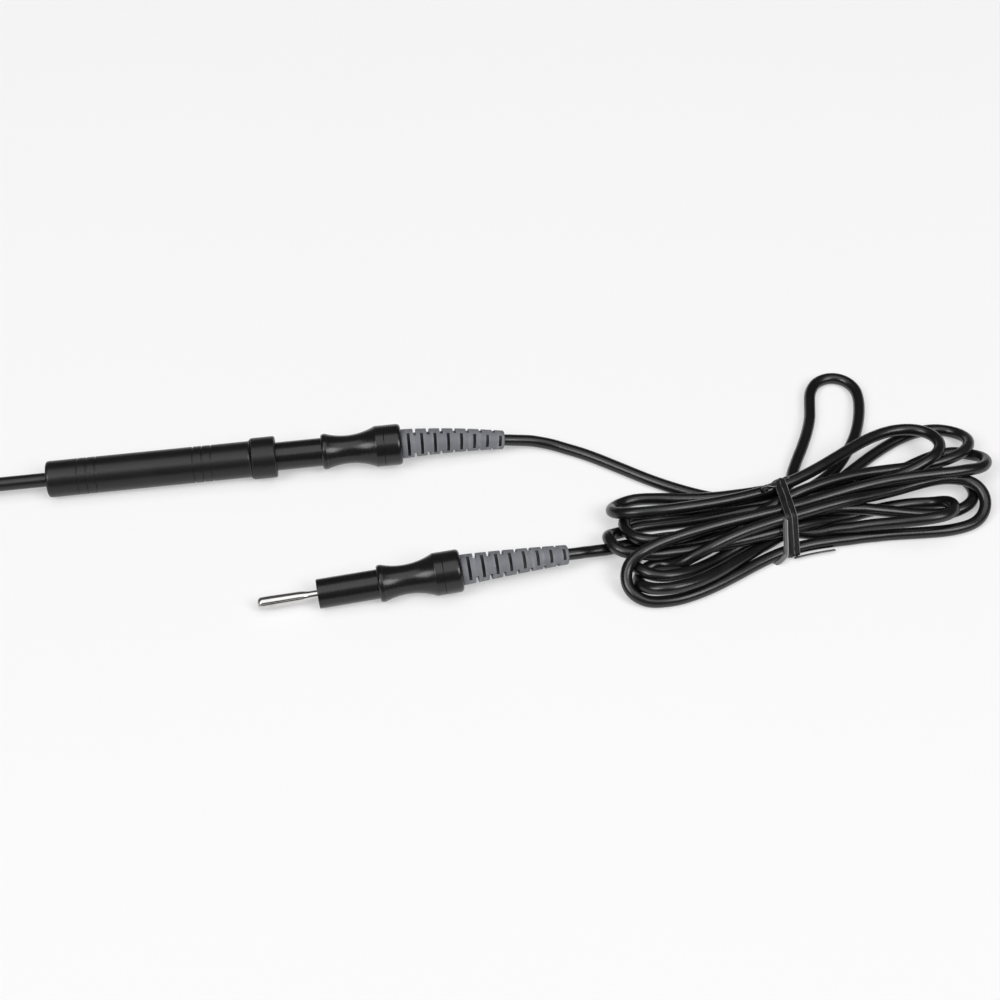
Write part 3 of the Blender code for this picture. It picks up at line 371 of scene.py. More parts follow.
def settled(line, held):
    """Lets the line sink until it lies on itself and on the table, near its laid way and with its least bend
    kept, except where it is held."""
    home, free = line.copy(), (~held).astype(float)[:, None]
    line = line.copy()
    count = len(line)
    rest = np.linalg.norm(np.diff(line, axis=0), axis=1)
    reach = BEND_REACH
    least_chord = 2 * LEAST_BEND * sin(reach * ROUTE_STEP / LEAST_BEND)
    apart = CABLE_DIAMETER + TOUCHING_GAP
    beyond = round(2.2 * CABLE_DIAMETER / ROUTE_STEP)
    straight = np.zeros(count)
    straight[4:-4] = np.linalg.norm(home[8:] - home[:-8], axis=1) > STRAIGHT_SPAN * ROUTE_STEP
    straight = np.minimum.reduce([np.roll(straight, shift) for shift in range(-4, 5)])
    straight = np.convolve(straight, np.ones(9) / 9, "same")[:, None]

    def shared(first, second, move, strength):
        """Moves two sets of points apart by a move that each point averages over its partners."""
        total, partners = np.zeros_like(line), np.zeros(count)
        for indices, sign in ((first, -1.0), (second, 1.0)):
            np.add.at(total, indices, sign * move)
            np.add.at(partners, indices, 1.0)
        return strength * total / np.maximum(partners, 1.0)[:, None] * free

    def faired(stride):
        """How far each point is from a smooth line through the points a stride away on both sides."""
        bend = np.zeros_like(line)
        bend[stride:-stride] = 0.5 * (line[:-2 * stride] + line[2 * stride:]) - line[stride:-stride]
        fair = bend.copy()
        fair[stride:-stride] -= 0.5 * (bend[:-2 * stride] + bend[2 * stride:])
        return fair * free

    for index in range(SETTLING_ROUNDS):
        parting = index >= SETTLING_ROUNDS - PARTING_ROUNDS
        homing, opening_up, fairing, times = PARTING if parting else SETTLING
        line[:, 2:] -= SINKING * free
        way = np.zeros_like(line)
        way[1:-1] = line[2:] - line[:-2]
        way /= np.maximum(np.linalg.norm(way, axis=1), 1e-6)[:, None]
        aside = home - line
        aside -= (aside * way).sum(axis=1)[:, None] * way
        line += homing * aside * free
        if index % NEIGHBOURS_LAST == 0:
            gaps = line[:, None, :] - line[None, :, :]
            near = np.einsum("ijk,ijk->ij", gaps, gaps) < (CABLE_DIAMETER + NEIGHBOURS_WITHIN) ** 2
            first, second = np.nonzero(np.triu(near, beyond))
        for _ in range(times):
            delta = line[second] - line[first]
            distance = np.linalg.norm(delta, axis=1)
            hit = distance < apart
            push = 0.5 * (apart - distance[hit]) / np.maximum(distance[hit], 1e-6)
            line += shared(first[hit], second[hit], delta[hit] * push[:, None], PARTING_STRENGTH)
            chord = line[2 * reach:] - line[:-2 * reach]
            across = np.linalg.norm(chord, axis=1)
            tight = np.nonzero(across < least_chord)[0]
            opening = opening_up * ((least_chord - across[tight]) / across[tight])[:, None]
            line += shared(tight, tight + 2 * reach, opening * chord[tight], 1.0)
            line += SMOOTHING * faired(1)
            line += fairing * straight * faired(4)
            for start in (0, 1):
                links = np.arange(start, count - 1, 2)
                step = line[links + 1] - line[links]
                length = np.linalg.norm(step, axis=1)
                move = (0.5 * (length - rest[links]) / length)[:, None] * step
                line[links] += move * free[links]
                line[links + 1] -= move * free[links + 1]
            low = (line[:, 2] < CABLE_LIES_AT) & ~held
            line[low, 2] = CABLE_LIES_AT
        rest = OLD_LENGTH * rest + NEW_LENGTH * np.linalg.norm(np.diff(line, axis=0), axis=1)
        rest[1:-1] = 0.5 * rest[1:-1] + 0.25 * (rest[:-2] + rest[2:])
    return evenly(line, ROUTE_STEP)


# What stays as it was laid: the stray loop, which lies beyond this line on the table and up to this far past the
# handle's lead, and both leads but for these last steps of each.
STRAY_LOOP_FROM = -28.5
STRAY_LOOP_PAST = 260.0
FREE_AFTER_HANDLE_LEAD = 12
FREE_BEFORE_GENERATOR_LEAD = 3

route, lead_in_steps, lead_out_steps = laid_route()
held = route[:, 1] > STRAY_LOOP_FROM
held[lead_in_steps + round(STRAY_LOOP_PAST / ROUTE_STEP):] = False
held[:lead_in_steps - FREE_AFTER_HANDLE_LEAD] = True
held[-lead_out_steps + FREE_BEFORE_GENERATOR_LEAD:] = True
route = settled(route, held)
route = through(list(route), 2)


def node_group(name, values, results):
    """A node group that takes coordinates and values and gives values, and what comes into it."""
    group = bpy.data.node_groups.new(name, "ShaderNodeTree")
    group.interface.new_socket("Vector", in_out="INPUT", socket_type="NodeSocketVector")
    for way, names in (("INPUT", values), ("OUTPUT", results)):
        for socket in names:
            group.interface.new_socket(socket, in_out=way, socket_type="NodeSocketFloat")
    return group, node(group, "NodeGroupInput").outputs


def mask_of(tree, value, start, end):
    """A mask that is 0 up to where a value starts and 1 from where it ends."""
    return node(tree, "ShaderNodeMapRange", {"Value": value, "From Min": start, "From Max": end}).outputs["Result"]


def spread(tree, mask, low, high):
    """A mask from 0 to 1 stretched between two values."""
    return node(tree, "ShaderNodeMapRange", {"Value": mask, "To Min": low, "To Max": high}).outputs["Result"]


def surface_grain():
    """Node group: the fine grain of a moulded or blasted surface, as a height and a slow mottle."""
    group, came = node_group("surface_grain", ("Grain Scale", "Mottle Scale"), ("Mottle", "Height"))
    fine = noise(group, came["Vector"], came["Grain Scale"], Detail=2.0, Roughness=0.6)
    slow = noise(group, came["Vector"], came["Mottle Scale"], Detail=3.0, Roughness=0.55)
    height = combined(group, "MULTIPLY", fine, slow)
    node(group, "NodeGroupOutput", {"Mottle": mask_of(group, slow, 0.3, 0.7), "Height": height})
    return group


def handling_marks():
    """Node group: a mask of faint smudges and short fine scratches from use."""
    group, came = node_group("handling_marks", ("Smudge Scale", "Scratch Scale"), ("Smudges", "Scratches"))
    blot = noise(group, came["Vector"], came["Smudge Scale"], Detail=5.0, Distortion=0.6)
    smudges = mask_of(group, blot, 0.52, 0.72)
    turned_way = node(group, "ShaderNodeVectorRotate", {"Vector": came["Vector"], "Angle": 0.7}).outputs["Vector"]
    drawn_out = node(group, "ShaderNodeMapping", {"Vector": turned_way, "Scale": (0.08, 1.0, 1.0)}).outputs["Vector"]
    lines = noise(group, drawn_out, came["Scratch Scale"], Detail=1.0)
    node(group, "NodeGroupOutput", {"Smudges": smudges, "Scratches": mask_of(group, lines, 0.66, 0.7)})
    return group


SURFACE_GRAIN = surface_grain()
HANDLING_MARKS = handling_marks()


def textured(tree, group, **values):
    """A node group laid over a piece by its own coordinates, with its own values."""
    used = node(tree, "ShaderNodeGroup", node_tree=group)
    tree.links.new(node(tree, "ShaderNodeTexCoord").outputs["Object"], used.inputs["Vector"])
    for name, value in values.items():
        used.inputs[name.replace("_", " ")].default_value = value
    return used.outputs


def finished(tree, shader, colour, roughness, height, strength, depth):
    """Feeds a shader its colour, its roughness and a height, pressed in with a strength to a depth."""
    bump = node(tree, "ShaderNodeBump", {"Height": height, "Strength": strength, "Distance": depth * MM})
    for value, socket in ((colour, "Base Color"), (roughness, "Roughness"), (bump.outputs["Normal"], "Normal")):
        tree.links.new(value, shader.inputs[socket])


def handled(name, tones, roughness, grain_scales, mark_scales, bump, **fixed):
    """A smooth sheath: two tones in faint smudges from handling, and a roughness that varies slowly."""
    made, tree, shader = new_material(name, **fixed)
    grain = textured(tree, SURFACE_GRAIN, Grain_Scale=grain_scales[0], Mottle_Scale=grain_scales[1])
    marks = textured(tree, HANDLING_MARKS, Smudge_Scale=mark_scales[0], Scratch_Scale=mark_scales[1])
    colour = blended(tree, marks["Smudges"], *tones)
    finished(tree, shader, colour, spread(tree, grain["Mottle"], *roughness), grain["Height"], *bump)
    return made


def wire(name, line, sizes, radius, resolution, finish, place=None):
    """A round wire along a line of points, with its thickness at each as a share of its radius."""
    curve = bpy.data.curves.new(name, "CURVE")
    curve.dimensions = "3D"
    curve.bevel_depth = radius * MM
    curve.bevel_resolution = resolution
    curve.use_fill_caps = True
    spline = curve.splines.new("POLY")
    spline.points.add(len(line) - 1)
    spline.points.foreach_set("co", np.column_stack([line * MM, np.ones(len(line))]).astype(np.float32).ravel())
    spline.points.foreach_set("radius", np.asarray(sizes, np.float32))
    spline.use_smooth = True
    curve.materials.append(finish)
    return put_in_scene(name, curve, place)


def joins(piece, body, slot_name, *stood_for):
    """The piece rides on its body and stands for its solids, which it hides. Its slot name is not used."""
    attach(piece, body)
    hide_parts(*stood_for)
    return piece


cable_sheath = handled(
    "cable_sheath", ((0.004, 0.004, 0.0042), (0.009, 0.009, 0.0095)), (0.24, 0.32),
    (2600.0, 90.0), (60.0, 900.0), (0.12, 0.05), Specular_IOR_Level=0.55,
)
cable = wire("cable", route, np.ones(len(route)), CABLE_DIAMETER / 2, 5, cable_sheath)
joins(cable, "cable", "black_cable", "cable_lead_handle", "cable_stray_loop", "cable_hank", "cable_lead_generator")


# The shaft: a steel tube in black shrunk-on insulation, 5 mm across, with a dark ceramic nose at its end.
# The insulation is drawn over the tube hot, so it is satin, with a faint lengthwise unevenness.
HANDLE_LENGTH = 81.3
WORKING_LENGTH = 330.0
INSTRUMENT_LENGTH = HANDLE_LENGTH + WORKING_LENGTH
TIP = -INSTRUMENT_LENGTH
HOOK_REACH = 13.0
SHAFT_RADIUS = 2.5
SHAFT_BORE = 1.7
NOSE_FRONT = TIP + HOOK_REACH
NOSE_REAR = NOSE_FRONT + 7.0
NOSE_SOCKET_END = NOSE_FRONT + 1.2
NOSE_BORE = 0.95
INSULATION_REAR = -60.5
FULL_TURN = 96


def eased(outline, solid_is_below):
    """A profile with its corners rounded: (along, radius, easing) in, (along, radius, edge mark) out.
    A corner that sticks out is marked 1, one that goes in 0, and so is everything between them."""
    points = []
    last = len(outline) - 1
    for index, (along, radius, easing) in enumerate(outline):
        if easing == 0 or index in (0, last):
            points.append((along, radius, 0.0))
            continue
        here = Vector((along, radius))
        back = Vector(outline[index - 1][:2]) - here
        on = Vector(outline[index + 1][:2]) - here
        cut = min(easing, 0.45 * back.length, 0.45 * on.length)
        back, on = back.normalized(), on.normalized()
        sticks_out = (on.x * back.y - on.y * back.x > 0) == solid_is_below
        points.append((*(here + back * cut * 1.35), 0.0))
        for step in range(5):
            t = step / 4
            spot = here + back * cut * (1 - t) ** 2 + on * cut * t * t
            points.append((spot.x, spot.y, 1.0 if sticks_out else 0.0))
        points.append((*(here + on * cut * 1.35), 0.0))
    return points


def smoothed(mesh, sharp_from):
    """Smooth shading, but for edges sharper than this many degrees."""
    mesh.shade_smooth()
    mesh.set_sharp_from_angle(angle=radians(sharp_from))


def piece_of(name, shape, finish, sharp_from, place=None):
    """A piece made of its finished shape."""
    bmesh.ops.recalc_face_normals(shape, faces=shape.faces)
    mesh = bpy.data.meshes.new(name)
    shape.to_mesh(mesh)
    shape.free()
    smoothed(mesh, sharp_from)
    mesh.materials.append(finish)
    return put_in_scene(name, mesh, place)


def revolved(name, place, outline, bore, finish, steps=FULL_TURN):
    """A turned piece along its frame's X. outline and bore list (along, radius, easing) from front to rear."""
    profile = eased(outline, True) + eased(bore, False)[::-1]
    shape = bmesh.new()
    edge_mark = shape.verts.layers.float.new("edge")
    rings = []
    for along, radius, mark in profile:
        count = 1 if radius < 1e-6 else steps
        ring = []
        for step in range(count):
            angle = 2 * pi * step / steps
            corner = shape.verts.new((along * MM, radius * cos(angle) * MM, radius * sin(angle) * MM))
            corner[edge_mark] = mark
            ring.append(corner)
        rings.append(ring)
    following = rings[1:] + (rings[:1] if bore else [])
    for ring, following_ring in zip(rings, following):
        for step in range(steps):
            after = (step + 1) % steps
            corners = [ring[step % len(ring)], ring[after % len(ring)]]
            corners += [following_ring[after % len(following_ring)], following_ring[step % len(following_ring)]]
            corners = list(dict.fromkeys(corners))
            if len(corners) > 2:
                shape.faces.new(corners)
    bmesh.ops.remove_doubles(shape, verts=shape.verts, dist=0.0005 * MM)
    return piece_of(name, shape, finish, 42.0, place)


shrunk_insulation = handled(
    "shrunk_insulation", ((0.0075, 0.0075, 0.008), (0.014, 0.014, 0.015)), (0.26, 0.36),
    (900.0, 70.0), (45.0, 700.0), (0.15, 0.05),
)
shaft = revolved(
    "shaft", INSTRUMENT_AXIS,
    ((NOSE_REAR + 0.02, SHAFT_RADIUS, 0), (NOSE_REAR + 0.02, SHAFT_RADIUS, 0.12), (INSULATION_REAR, SHAFT_RADIUS, 0)),
    ((NOSE_REAR + 0.02, SHAFT_BORE, 0), (INSULATION_REAR, SHAFT_BORE, 0)),
    shrunk_insulation,
)
joins(shaft, "instrument", "black_insulation", "shaft_insulation")


def mottled(name, tones, roughness, scales, bump, **fixed):
    """A moulded or fired finish: two tones in a slow mottle, which is rougher where it is lighter."""
    made, tree, shader = new_material(name, **fixed)
    grain = textured(tree, SURFACE_GRAIN, Grain_Scale=scales[0], Mottle_Scale=scales[1])
    colour = blended(tree, grain["Mottle"], *tones)
    finished(tree, shader, colour, spread(tree, grain["Mottle"], *roughness), grain["Height"], *bump)
    return made


ceramic_nose = mottled(
    "ceramic_nose", ((0.022, 0.022, 0.024), (0.034, 0.034, 0.036)), (0.22, 0.34),
    (3000.0, 400.0), (0.1, 0.03), Specular_IOR_Level=0.6,
)
nose = revolved(
    "nose", INSTRUMENT_AXIS,
    ((NOSE_FRONT, NOSE_BORE, 0), (NOSE_FRONT, SHAFT_RADIUS, 1.2), (NOSE_REAR, SHAFT_RADIUS, 0.1),
     (NOSE_REAR, SHAFT_BORE, 0)),
    ((NOSE_FRONT, NOSE_BORE, 0), (NOSE_SOCKET_END, NOSE_BORE, 0), (NOSE_SOCKET_END, SHAFT_BORE, 0),
     (NOSE_REAR, SHAFT_BORE, 0)),
    ceramic_nose,
)
joins(nose, "instrument", "ceramic", "tip_insulator")


# The hook: one length of polished steel wire, crimped in the tube. It steps off the axis, turns back across
# it in an L and ends in a small ball-nosed leg, where the working edge is worn bright.
HOOK_WIRE_RADIUS = 0.65
HOOK_STEP = -1.2
HOOK_STEP_START = NOSE_FRONT - 1.4
HOOK_STEP_END = NOSE_FRONT - 5.4
HOOK_BEND = 1.3
HOOK_LEG_TOP = 1.75
HOOK_REAR = NOSE_FRONT + 10.5


def turning_lines():
    """Node group: the fine rings that a lathe tool or a polishing cloth leaves around a piece's X axis."""
    group, came = node_group("turning_lines", ("Lines per Metre",), ("Rings", "Height"))
    along_only = node(group, "ShaderNodeMapping", {"Vector": came["Vector"], "Scale": (1.0, 0.015, 0.015)})
    rings = noise(group, along_only.outputs["Vector"], came["Lines per Metre"], Detail=3.0, Roughness=0.7)
    node(group, "NodeGroupOutput", {"Rings": mask_of(group, rings, 0.35, 0.65), "Height": rings})
    return group


TURNING_LINES = turning_lines()

polished_steel, tree, shader = new_material("polished_steel", Metallic=1.0)
rings = textured(tree, TURNING_LINES, Lines_per_Metre=5000.0)
marks = textured(tree, HANDLING_MARKS, Smudge_Scale=160.0, Scratch_Scale=2500.0)
smudged = blended(tree, marks["Smudges"], (0.66, 0.65, 0.635), (0.56, 0.55, 0.53))
dulled = combined(tree, "MAXIMUM", rings["Rings"], marks["Scratches"])
finished(tree, shader, smudged, spread(tree, dulled, 0.13, 0.24), rings["Height"], 0.08, 0.02)

leg_x = TIP + HOOK_WIRE_RADIUS
hook_points = [(HOOK_REAR, 0.0, 0.0), (NOSE_FRONT, 0.0, 0.0)]
for step in range(17):
    t = step / 16
    along = HOOK_STEP_START + (HOOK_STEP_END - HOOK_STEP_START) * t
    hook_points.append((along, 0.0, HOOK_STEP * (0.5 - 0.5 * cos(pi * t))))
for step in range(17):
    angle = pi / 2 * step / 16
    hook_points.append((leg_x + HOOK_BEND * (1 - sin(angle)), 0.0, HOOK_STEP + HOOK_BEND * (1 - cos(angle))))
hook_sizes = [1.0] * len(hook_points)
for step in range(9):
    angle = pi / 2 * step / 8
    hook_points.append((leg_x, 0.0, HOOK_LEG_TOP - HOOK_WIRE_RADIUS * (1 - sin(angle))))
    hook_sizes.append(max(cos(angle), 0.02))
hook = wire("hook", np.array(hook_points), hook_sizes, HOOK_WIRE_RADIUS, 8, polished_steel, INSTRUMENT_AXIS)
joins(hook, "instrument", "steel", "hook_electrode")


# The handle: a turned barrel, black and satin all over, 13 mm across, with two groups of three fine grooves
# for the fingers. It flares at its rear and goes into the collar with a spigot.
HANDLE_FRONT = -HANDLE_LENGTH
HANDLE_RADIUS = 6.5
GROOVE_GROUPS = (11.2, 52.0)
GROOVE_PITCH = 3.2
GROOVE_WIDTH = 0.5
GROOVE_DEPTH = 0.3
COLLAR_LENGTH = 8.8
COLLAR_RADIUS = 7.45
COLLAR_EDGE = 0.45
FLARE_RISE = 0.7
FLARE_LENGTH = 1.12
SPIGOT_RADIUS = 6.3
SPIGOT_REAR = -2.1
FINE_TURN = 128
BARREL_RADIUS = 5.075
MOUTH_RADIUS = 5.375
CAVITY_RADIUS = 4.9
CAVITY_FRONT = HANDLE_FRONT + 15.0
CAVITY_REAR = -9.6


def worn_edges():
    """Node group: where rubbing has broken through along an edge, from the edge mark and a noise."""
    group, came = node_group("worn_edges", ("Edge", "Patch Scale"), ("Worn",))
    patches = noise(group, came["Vector"], came["Patch Scale"], Detail=4.0)
    worn = combined(group, "MULTIPLY", mask_of(group, patches, 0.35, 0.75), came["Edge"])
    node(group, "NodeGroupOutput", {"Worn": worn})
    return group


WORN_EDGES = worn_edges()
EDGE_GREY = (0.045, 0.045, 0.047)


def worn_mask(tree, patch_scale):
    """Where a piece's marked edges are rubbed."""
    worn = textured(tree, WORN_EDGES, Patch_Scale=patch_scale)["Worn"]
    edge = node(tree, "ShaderNodeAttribute", attribute_name="edge")
    tree.links.new(edge.outputs["Fac"], worn.node.inputs["Edge"])
    return worn


def turned_black(name, shine, black, rubbed, smoothest, roughest):
    """A black turned finish: lathe rings, faint smudges, and edges rubbed a little lighter."""
    made, tree, shader = new_material(name, Specular_IOR_Level=shine)
    grain = textured(tree, SURFACE_GRAIN, Grain_Scale=4200.0, Mottle_Scale=60.0)
    rings = textured(tree, TURNING_LINES, Lines_per_Metre=2600.0)
    marks = textured(tree, HANDLING_MARKS, Smudge_Scale=55.0, Scratch_Scale=1100.0)
    colour = blended(tree, marks["Smudges"], black, rubbed)
    colour = blended(tree, worn_mask(tree, 350.0), colour, EDGE_GREY)
    rough = combined(tree, "MULTIPLY", rings["Rings"], grain["Mottle"])
    finished(tree, shader, colour, spread(tree, rough, roughest, smoothest), rings["Height"], 0.05, 0.03)
    return made


satin_black = turned_black("satin_black", 0.43, (0.0055, 0.0055, 0.006), (0.009, 0.009, 0.0095), 0.31, 0.37)


def handle_outline():
    """The barrel from its nose, with its grooves, to the flare and the spigot."""
    outline = [(HANDLE_FRONT, SHAFT_RADIUS + 0.3, 0), (HANDLE_FRONT, HANDLE_RADIUS, 1.2)]
    for group in GROOVE_GROUPS:
        for index in range(3):
            middle = HANDLE_FRONT + group + index * GROOVE_PITCH
            low, high = middle - GROOVE_WIDTH / 2, middle + GROOVE_WIDTH / 2
            outline += [(low, HANDLE_RADIUS, 0.05), (low + 0.1, HANDLE_RADIUS - GROOVE_DEPTH, 0.06)]
            outline += [(high - 0.1, HANDLE_RADIUS - GROOVE_DEPTH, 0.06), (high, HANDLE_RADIUS, 0.05)]
    flare_end = -COLLAR_LENGTH - 0.1
    for step in range(9):
        angle = pi / 2 * step / 8
        along = flare_end - FLARE_LENGTH * (1 - sin(angle))
        outline.append((along, HANDLE_RADIUS + FLARE_RISE * (1 - cos(angle)), 0.1 if step == 8 else 0))
    outline += [(flare_end, SPIGOT_RADIUS, 0), (SPIGOT_REAR, SPIGOT_RADIUS, 0)]
    return outline


handle = revolved(
    "handle", INSTRUMENT_AXIS, handle_outline(),
    ((HANDLE_FRONT, SHAFT_RADIUS + 0.3, 0), (CAVITY_FRONT, SHAFT_RADIUS + 0.3, 0), (CAVITY_FRONT, CAVITY_RADIUS, 0),
     (CAVITY_REAR, CAVITY_RADIUS, 0), (CAVITY_REAR, MOUTH_RADIUS, 0), (SPIGOT_REAR, MOUTH_RADIUS, 0)),
    satin_black, FINE_TURN,
)
joins(handle, "instrument", "black_satin", "handle_barrel")


# The rear collar: a separate turned ring pressed over the handle's spigot. Its mouth takes the plug's barrel,
# and its edges are broken with small chamfers that catch the light.
collar = revolved(
    "collar", INSTRUMENT_AXIS,
    ((-COLLAR_LENGTH, SPIGOT_RADIUS + 0.1, 0), (-COLLAR_LENGTH, COLLAR_RADIUS - COLLAR_EDGE, 0.1),
     (-COLLAR_LENGTH + COLLAR_EDGE, COLLAR_RADIUS, 0.15), (-COLLAR_EDGE, COLLAR_RADIUS, 0.15),
     (0.0, COLLAR_RADIUS - COLLAR_EDGE, 0.1), (0.0, MOUTH_RADIUS + 0.5, 0)),
    ((-COLLAR_LENGTH, SPIGOT_RADIUS + 0.1, 0), (SPIGOT_REAR + 0.1, SPIGOT_RADIUS + 0.1, 0),
     (SPIGOT_REAR + 0.1, MOUTH_RADIUS, 0), (-0.5, MOUTH_RADIUS, 0.1), (0.0, MOUTH_RADIUS + 0.5, 0)),
    satin_black, FINE_TURN,
)
joins(collar, "instrument", "black_satin", "rear_collar")


# Inside the handle: the seal ring behind its nose, the brass clamp on the shaft, and the brass socket with its
# grub screw and its black retaining ring, which show down the collar's mouth when the plug is out.
turned_brass, tree, shader = new_material("turned_brass", Metallic=1.0)
rings = textured(tree, TURNING_LINES, Lines_per_Metre=4000.0)
marks = textured(tree, HANDLING_MARKS, Smudge_Scale=200.0, Scratch_Scale=2000.0)
smudged = blended(tree, marks["Smudges"], (0.74, 0.53, 0.25), (0.52, 0.34, 0.15))
finished(tree, shader, smudged, spread(tree, rings["Rings"], 0.2, 0.34), rings["Height"], 0.1, 0.03)

seal_black = mottled(
    "seal_black", ((0.012, 0.012, 0.012), (0.024, 0.024, 0.023)), (0.6, 0.75), (2600.0, 300.0), (0.2, 0.04),
)

for solid, finish in (
    ("nose_seal", seal_black), ("shaft_clamp", turned_brass), ("contact_socket", turned_brass),
    ("socket_screw", polished_steel), ("socket_retainer", satin_black), ("conductor_tube", polished_steel),
    ("handle_plug_crimp", turned_brass), ("generator_plug_crimp", turned_brass),
):
    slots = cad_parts[solid].data.materials
    slots.clear()
    slots.append(finish)


# The plug bodies: two equal turned bodies of black plastic. Each has a plain barrel, a raised ring, a concave
# waist for the fingers and a collar with a fine cut line and a well rounded rear edge.
BARREL_LENGTH = 20.8
RING_RADIUS = 6.42
RING_REAR = BARREL_LENGTH + 1.7
WAIST_FRONT = BARREL_LENGTH + 2.0
WAIST_PLACE = 30.2
WAIST_ARC = 23.0
WAIST_STEPS = 36
PLUG_COLLAR_RADIUS = 7.4
PLUG_LINE = 2.9
BODY_BORE = 2.9
BOOT_SHANK_RADIUS = 3.9
BOOT_SHANK_FRONT = PLUG_LENGTH - 5.4
PIN_ROOT_RADIUS = 1.5
PIN_SHOULDER = 22.0


def plug_outline():
    """The body from its face, with its ring and its waist, to the collar."""
    rise = PLUG_COLLAR_RADIUS - BARREL_RADIUS
    waist_end = WAIST_PLACE + sqrt(WAIST_ARC ** 2 - (WAIST_ARC - rise) ** 2)
    outline = [(0.0, PIN_ROOT_RADIUS + 0.1, 0), (0.0, BARREL_RADIUS, 0.4), (BARREL_LENGTH, BARREL_RADIUS, 0.08)]
    outline += [(BARREL_LENGTH, RING_RADIUS - 0.5, 0.08), (BARREL_LENGTH + 0.6, RING_RADIUS, 0.3)]
    outline.append((RING_REAR, RING_RADIUS, 0.2))
    for step in range(WAIST_STEPS + 1):
        along = WAIST_FRONT + (waist_end - WAIST_FRONT) * step / WAIST_STEPS
        depth = WAIST_ARC - sqrt(WAIST_ARC ** 2 - (along - WAIST_PLACE) ** 2)
        outline.append((along, BARREL_RADIUS + depth, 0.2 if step == WAIST_STEPS else 0.1 if step == 0 else 0))
    line = waist_end + PLUG_LINE
    for along, depth in ((-0.15, 0), (0, 0.2), (0.15, 0)):
        outline.append((line + along, PLUG_COLLAR_RADIUS - depth, 0.04))
    outline += [(PLUG_LENGTH, PLUG_COLLAR_RADIUS, 1.5), (PLUG_LENGTH, BOOT_SHANK_RADIUS + 0.1, 0)]
    return outline


PLUG_BORE = (
    (0.0, PIN_ROOT_RADIUS + 0.1, 0), (PIN_SHOULDER, PIN_ROOT_RADIUS + 0.1, 0), (PIN_SHOULDER, BODY_BORE, 0),
    (BOOT_SHANK_FRONT - 0.3, BODY_BORE, 0), (BOOT_SHANK_FRONT - 0.3, BOOT_SHANK_RADIUS + 0.1, 0),
    (PLUG_LENGTH, BOOT_SHANK_RADIUS + 0.1, 0),
)
plug_black = turned_black("plug_black", 0.5, (0.005, 0.005, 0.0052), (0.008, 0.008, 0.0082), 0.22, 0.28)
for name, place in (("handle_plug", HANDLE_PLUG), ("generator_plug", GENERATOR_PLUG)):
    body = revolved(name + "_turned_body", place, plug_outline(), PLUG_BORE, plug_black, FINE_TURN)
    joins(body, "cable", "black_satin", name + "_body")


# The pins: 4 mm steel pins turned with a round tip and a thinner root, then sawn down the middle so that the
# halves spring in the socket. The generator plug's halves stand a little apart.
PIN_LENGTH = 20.7
PIN_RADIUS = 2.0
PIN_FLANGE_RADIUS = 2.6
PIN_SLOT = 0.5
PIN_SLOT_END = -5.0
PIN_SLOT_ROLL = radians(-35.0)
SMALL_TURN = 64


def sawn(piece, boxes, roll, bevel):
    """Saws boxes out of a piece, each given by centre and size and rolled about the piece's X, and breaks the
    cut edges."""
    mesh = bpy.data.meshes.new("sawing_block")
    shape = bmesh.new()
    for centre, size in boxes:
        lie = Matrix.Translation(Vector(centre) * MM) @ Matrix.Diagonal((*[length * MM for length in size], 1.0))
        bmesh.ops.create_cube(shape, size=1.0, matrix=lie)
    shape.to_mesh(mesh)
    shape.free()
    block = put_in_scene("sawing_block", mesh, piece.matrix_world @ Matrix.Rotation(roll, 4, "X"))
    cut = piece.modifiers.new("Cut", "BOOLEAN")
    cut.solver = "EXACT"
    cut.object = block
    edges = piece.modifiers.new("Edges", "BEVEL")
    edges.width = bevel * MM
    edges.segments = 2
    edges.limit_method = "ANGLE"
    edges.angle_limit = radians(50.0)
    bpy.context.view_layer.update()
    result = bpy.data.meshes.new_from_object(piece.evaluated_get(bpy.context.evaluated_depsgraph_get()))
    piece.modifiers.clear()
    old, piece.data = piece.data, result
    bpy.data.meshes.remove(old)
    bpy.data.objects.remove(block, do_unlink=True)


def pin_outline(apart):
    """The pin from its tip, whose halves stand apart, to its flange inside the body."""
    tip = PIN_RADIUS + apart
    outline = [(-PIN_LENGTH, 0.0, 0)]
    for step in range(1, 13):
        angle = pi / 2 * step / 12
        outline.append((-PIN_LENGTH + 0.8 * tip * (1 - cos(angle)), 0.2 * tip + 0.8 * tip * sin(angle), 0))
    outline += [(-PIN_LENGTH + 4.0, tip, 0.5), (-5.5, PIN_RADIUS - 0.1, 1.0), (-3.0, PIN_ROOT_RADIUS, 0.6)]
    flange_rear = PIN_SHOULDER + 1.5
    outline += [(PIN_SHOULDER, PIN_ROOT_RADIUS, 0), (PIN_SHOULDER, PIN_FLANGE_RADIUS, 0.1)]
    outline += [(flange_rear, PIN_FLANGE_RADIUS, 0.1), (flange_rear, PIN_ROOT_RADIUS, 0)]
    outline += [(PIN_SHOULDER + 3.0, PIN_ROOT_RADIUS, 0), (PIN_SHOULDER + 3.0, 0.0, 0)]
    return outline


for name, place, apart in (("handle_plug", HANDLE_PLUG, 0.0), ("generator_plug", GENERATOR_PLUG, 0.15)):
    pin = revolved(name + "_split_pin", place, pin_outline(apart), (), polished_steel, SMALL_TURN)
    length = PIN_LENGTH + PIN_SLOT_END + 2.0
    slot_box = ((PIN_SLOT_END - length / 2, 0.0, 0.0), (length, 4 * PIN_RADIUS, PIN_SLOT))
    sawn(pin, [slot_box], PIN_SLOT_ROLL, 0.06)
    smoothed(pin.data, 35.0)
    joins(pin, "cable", "steel", name + "_pin")


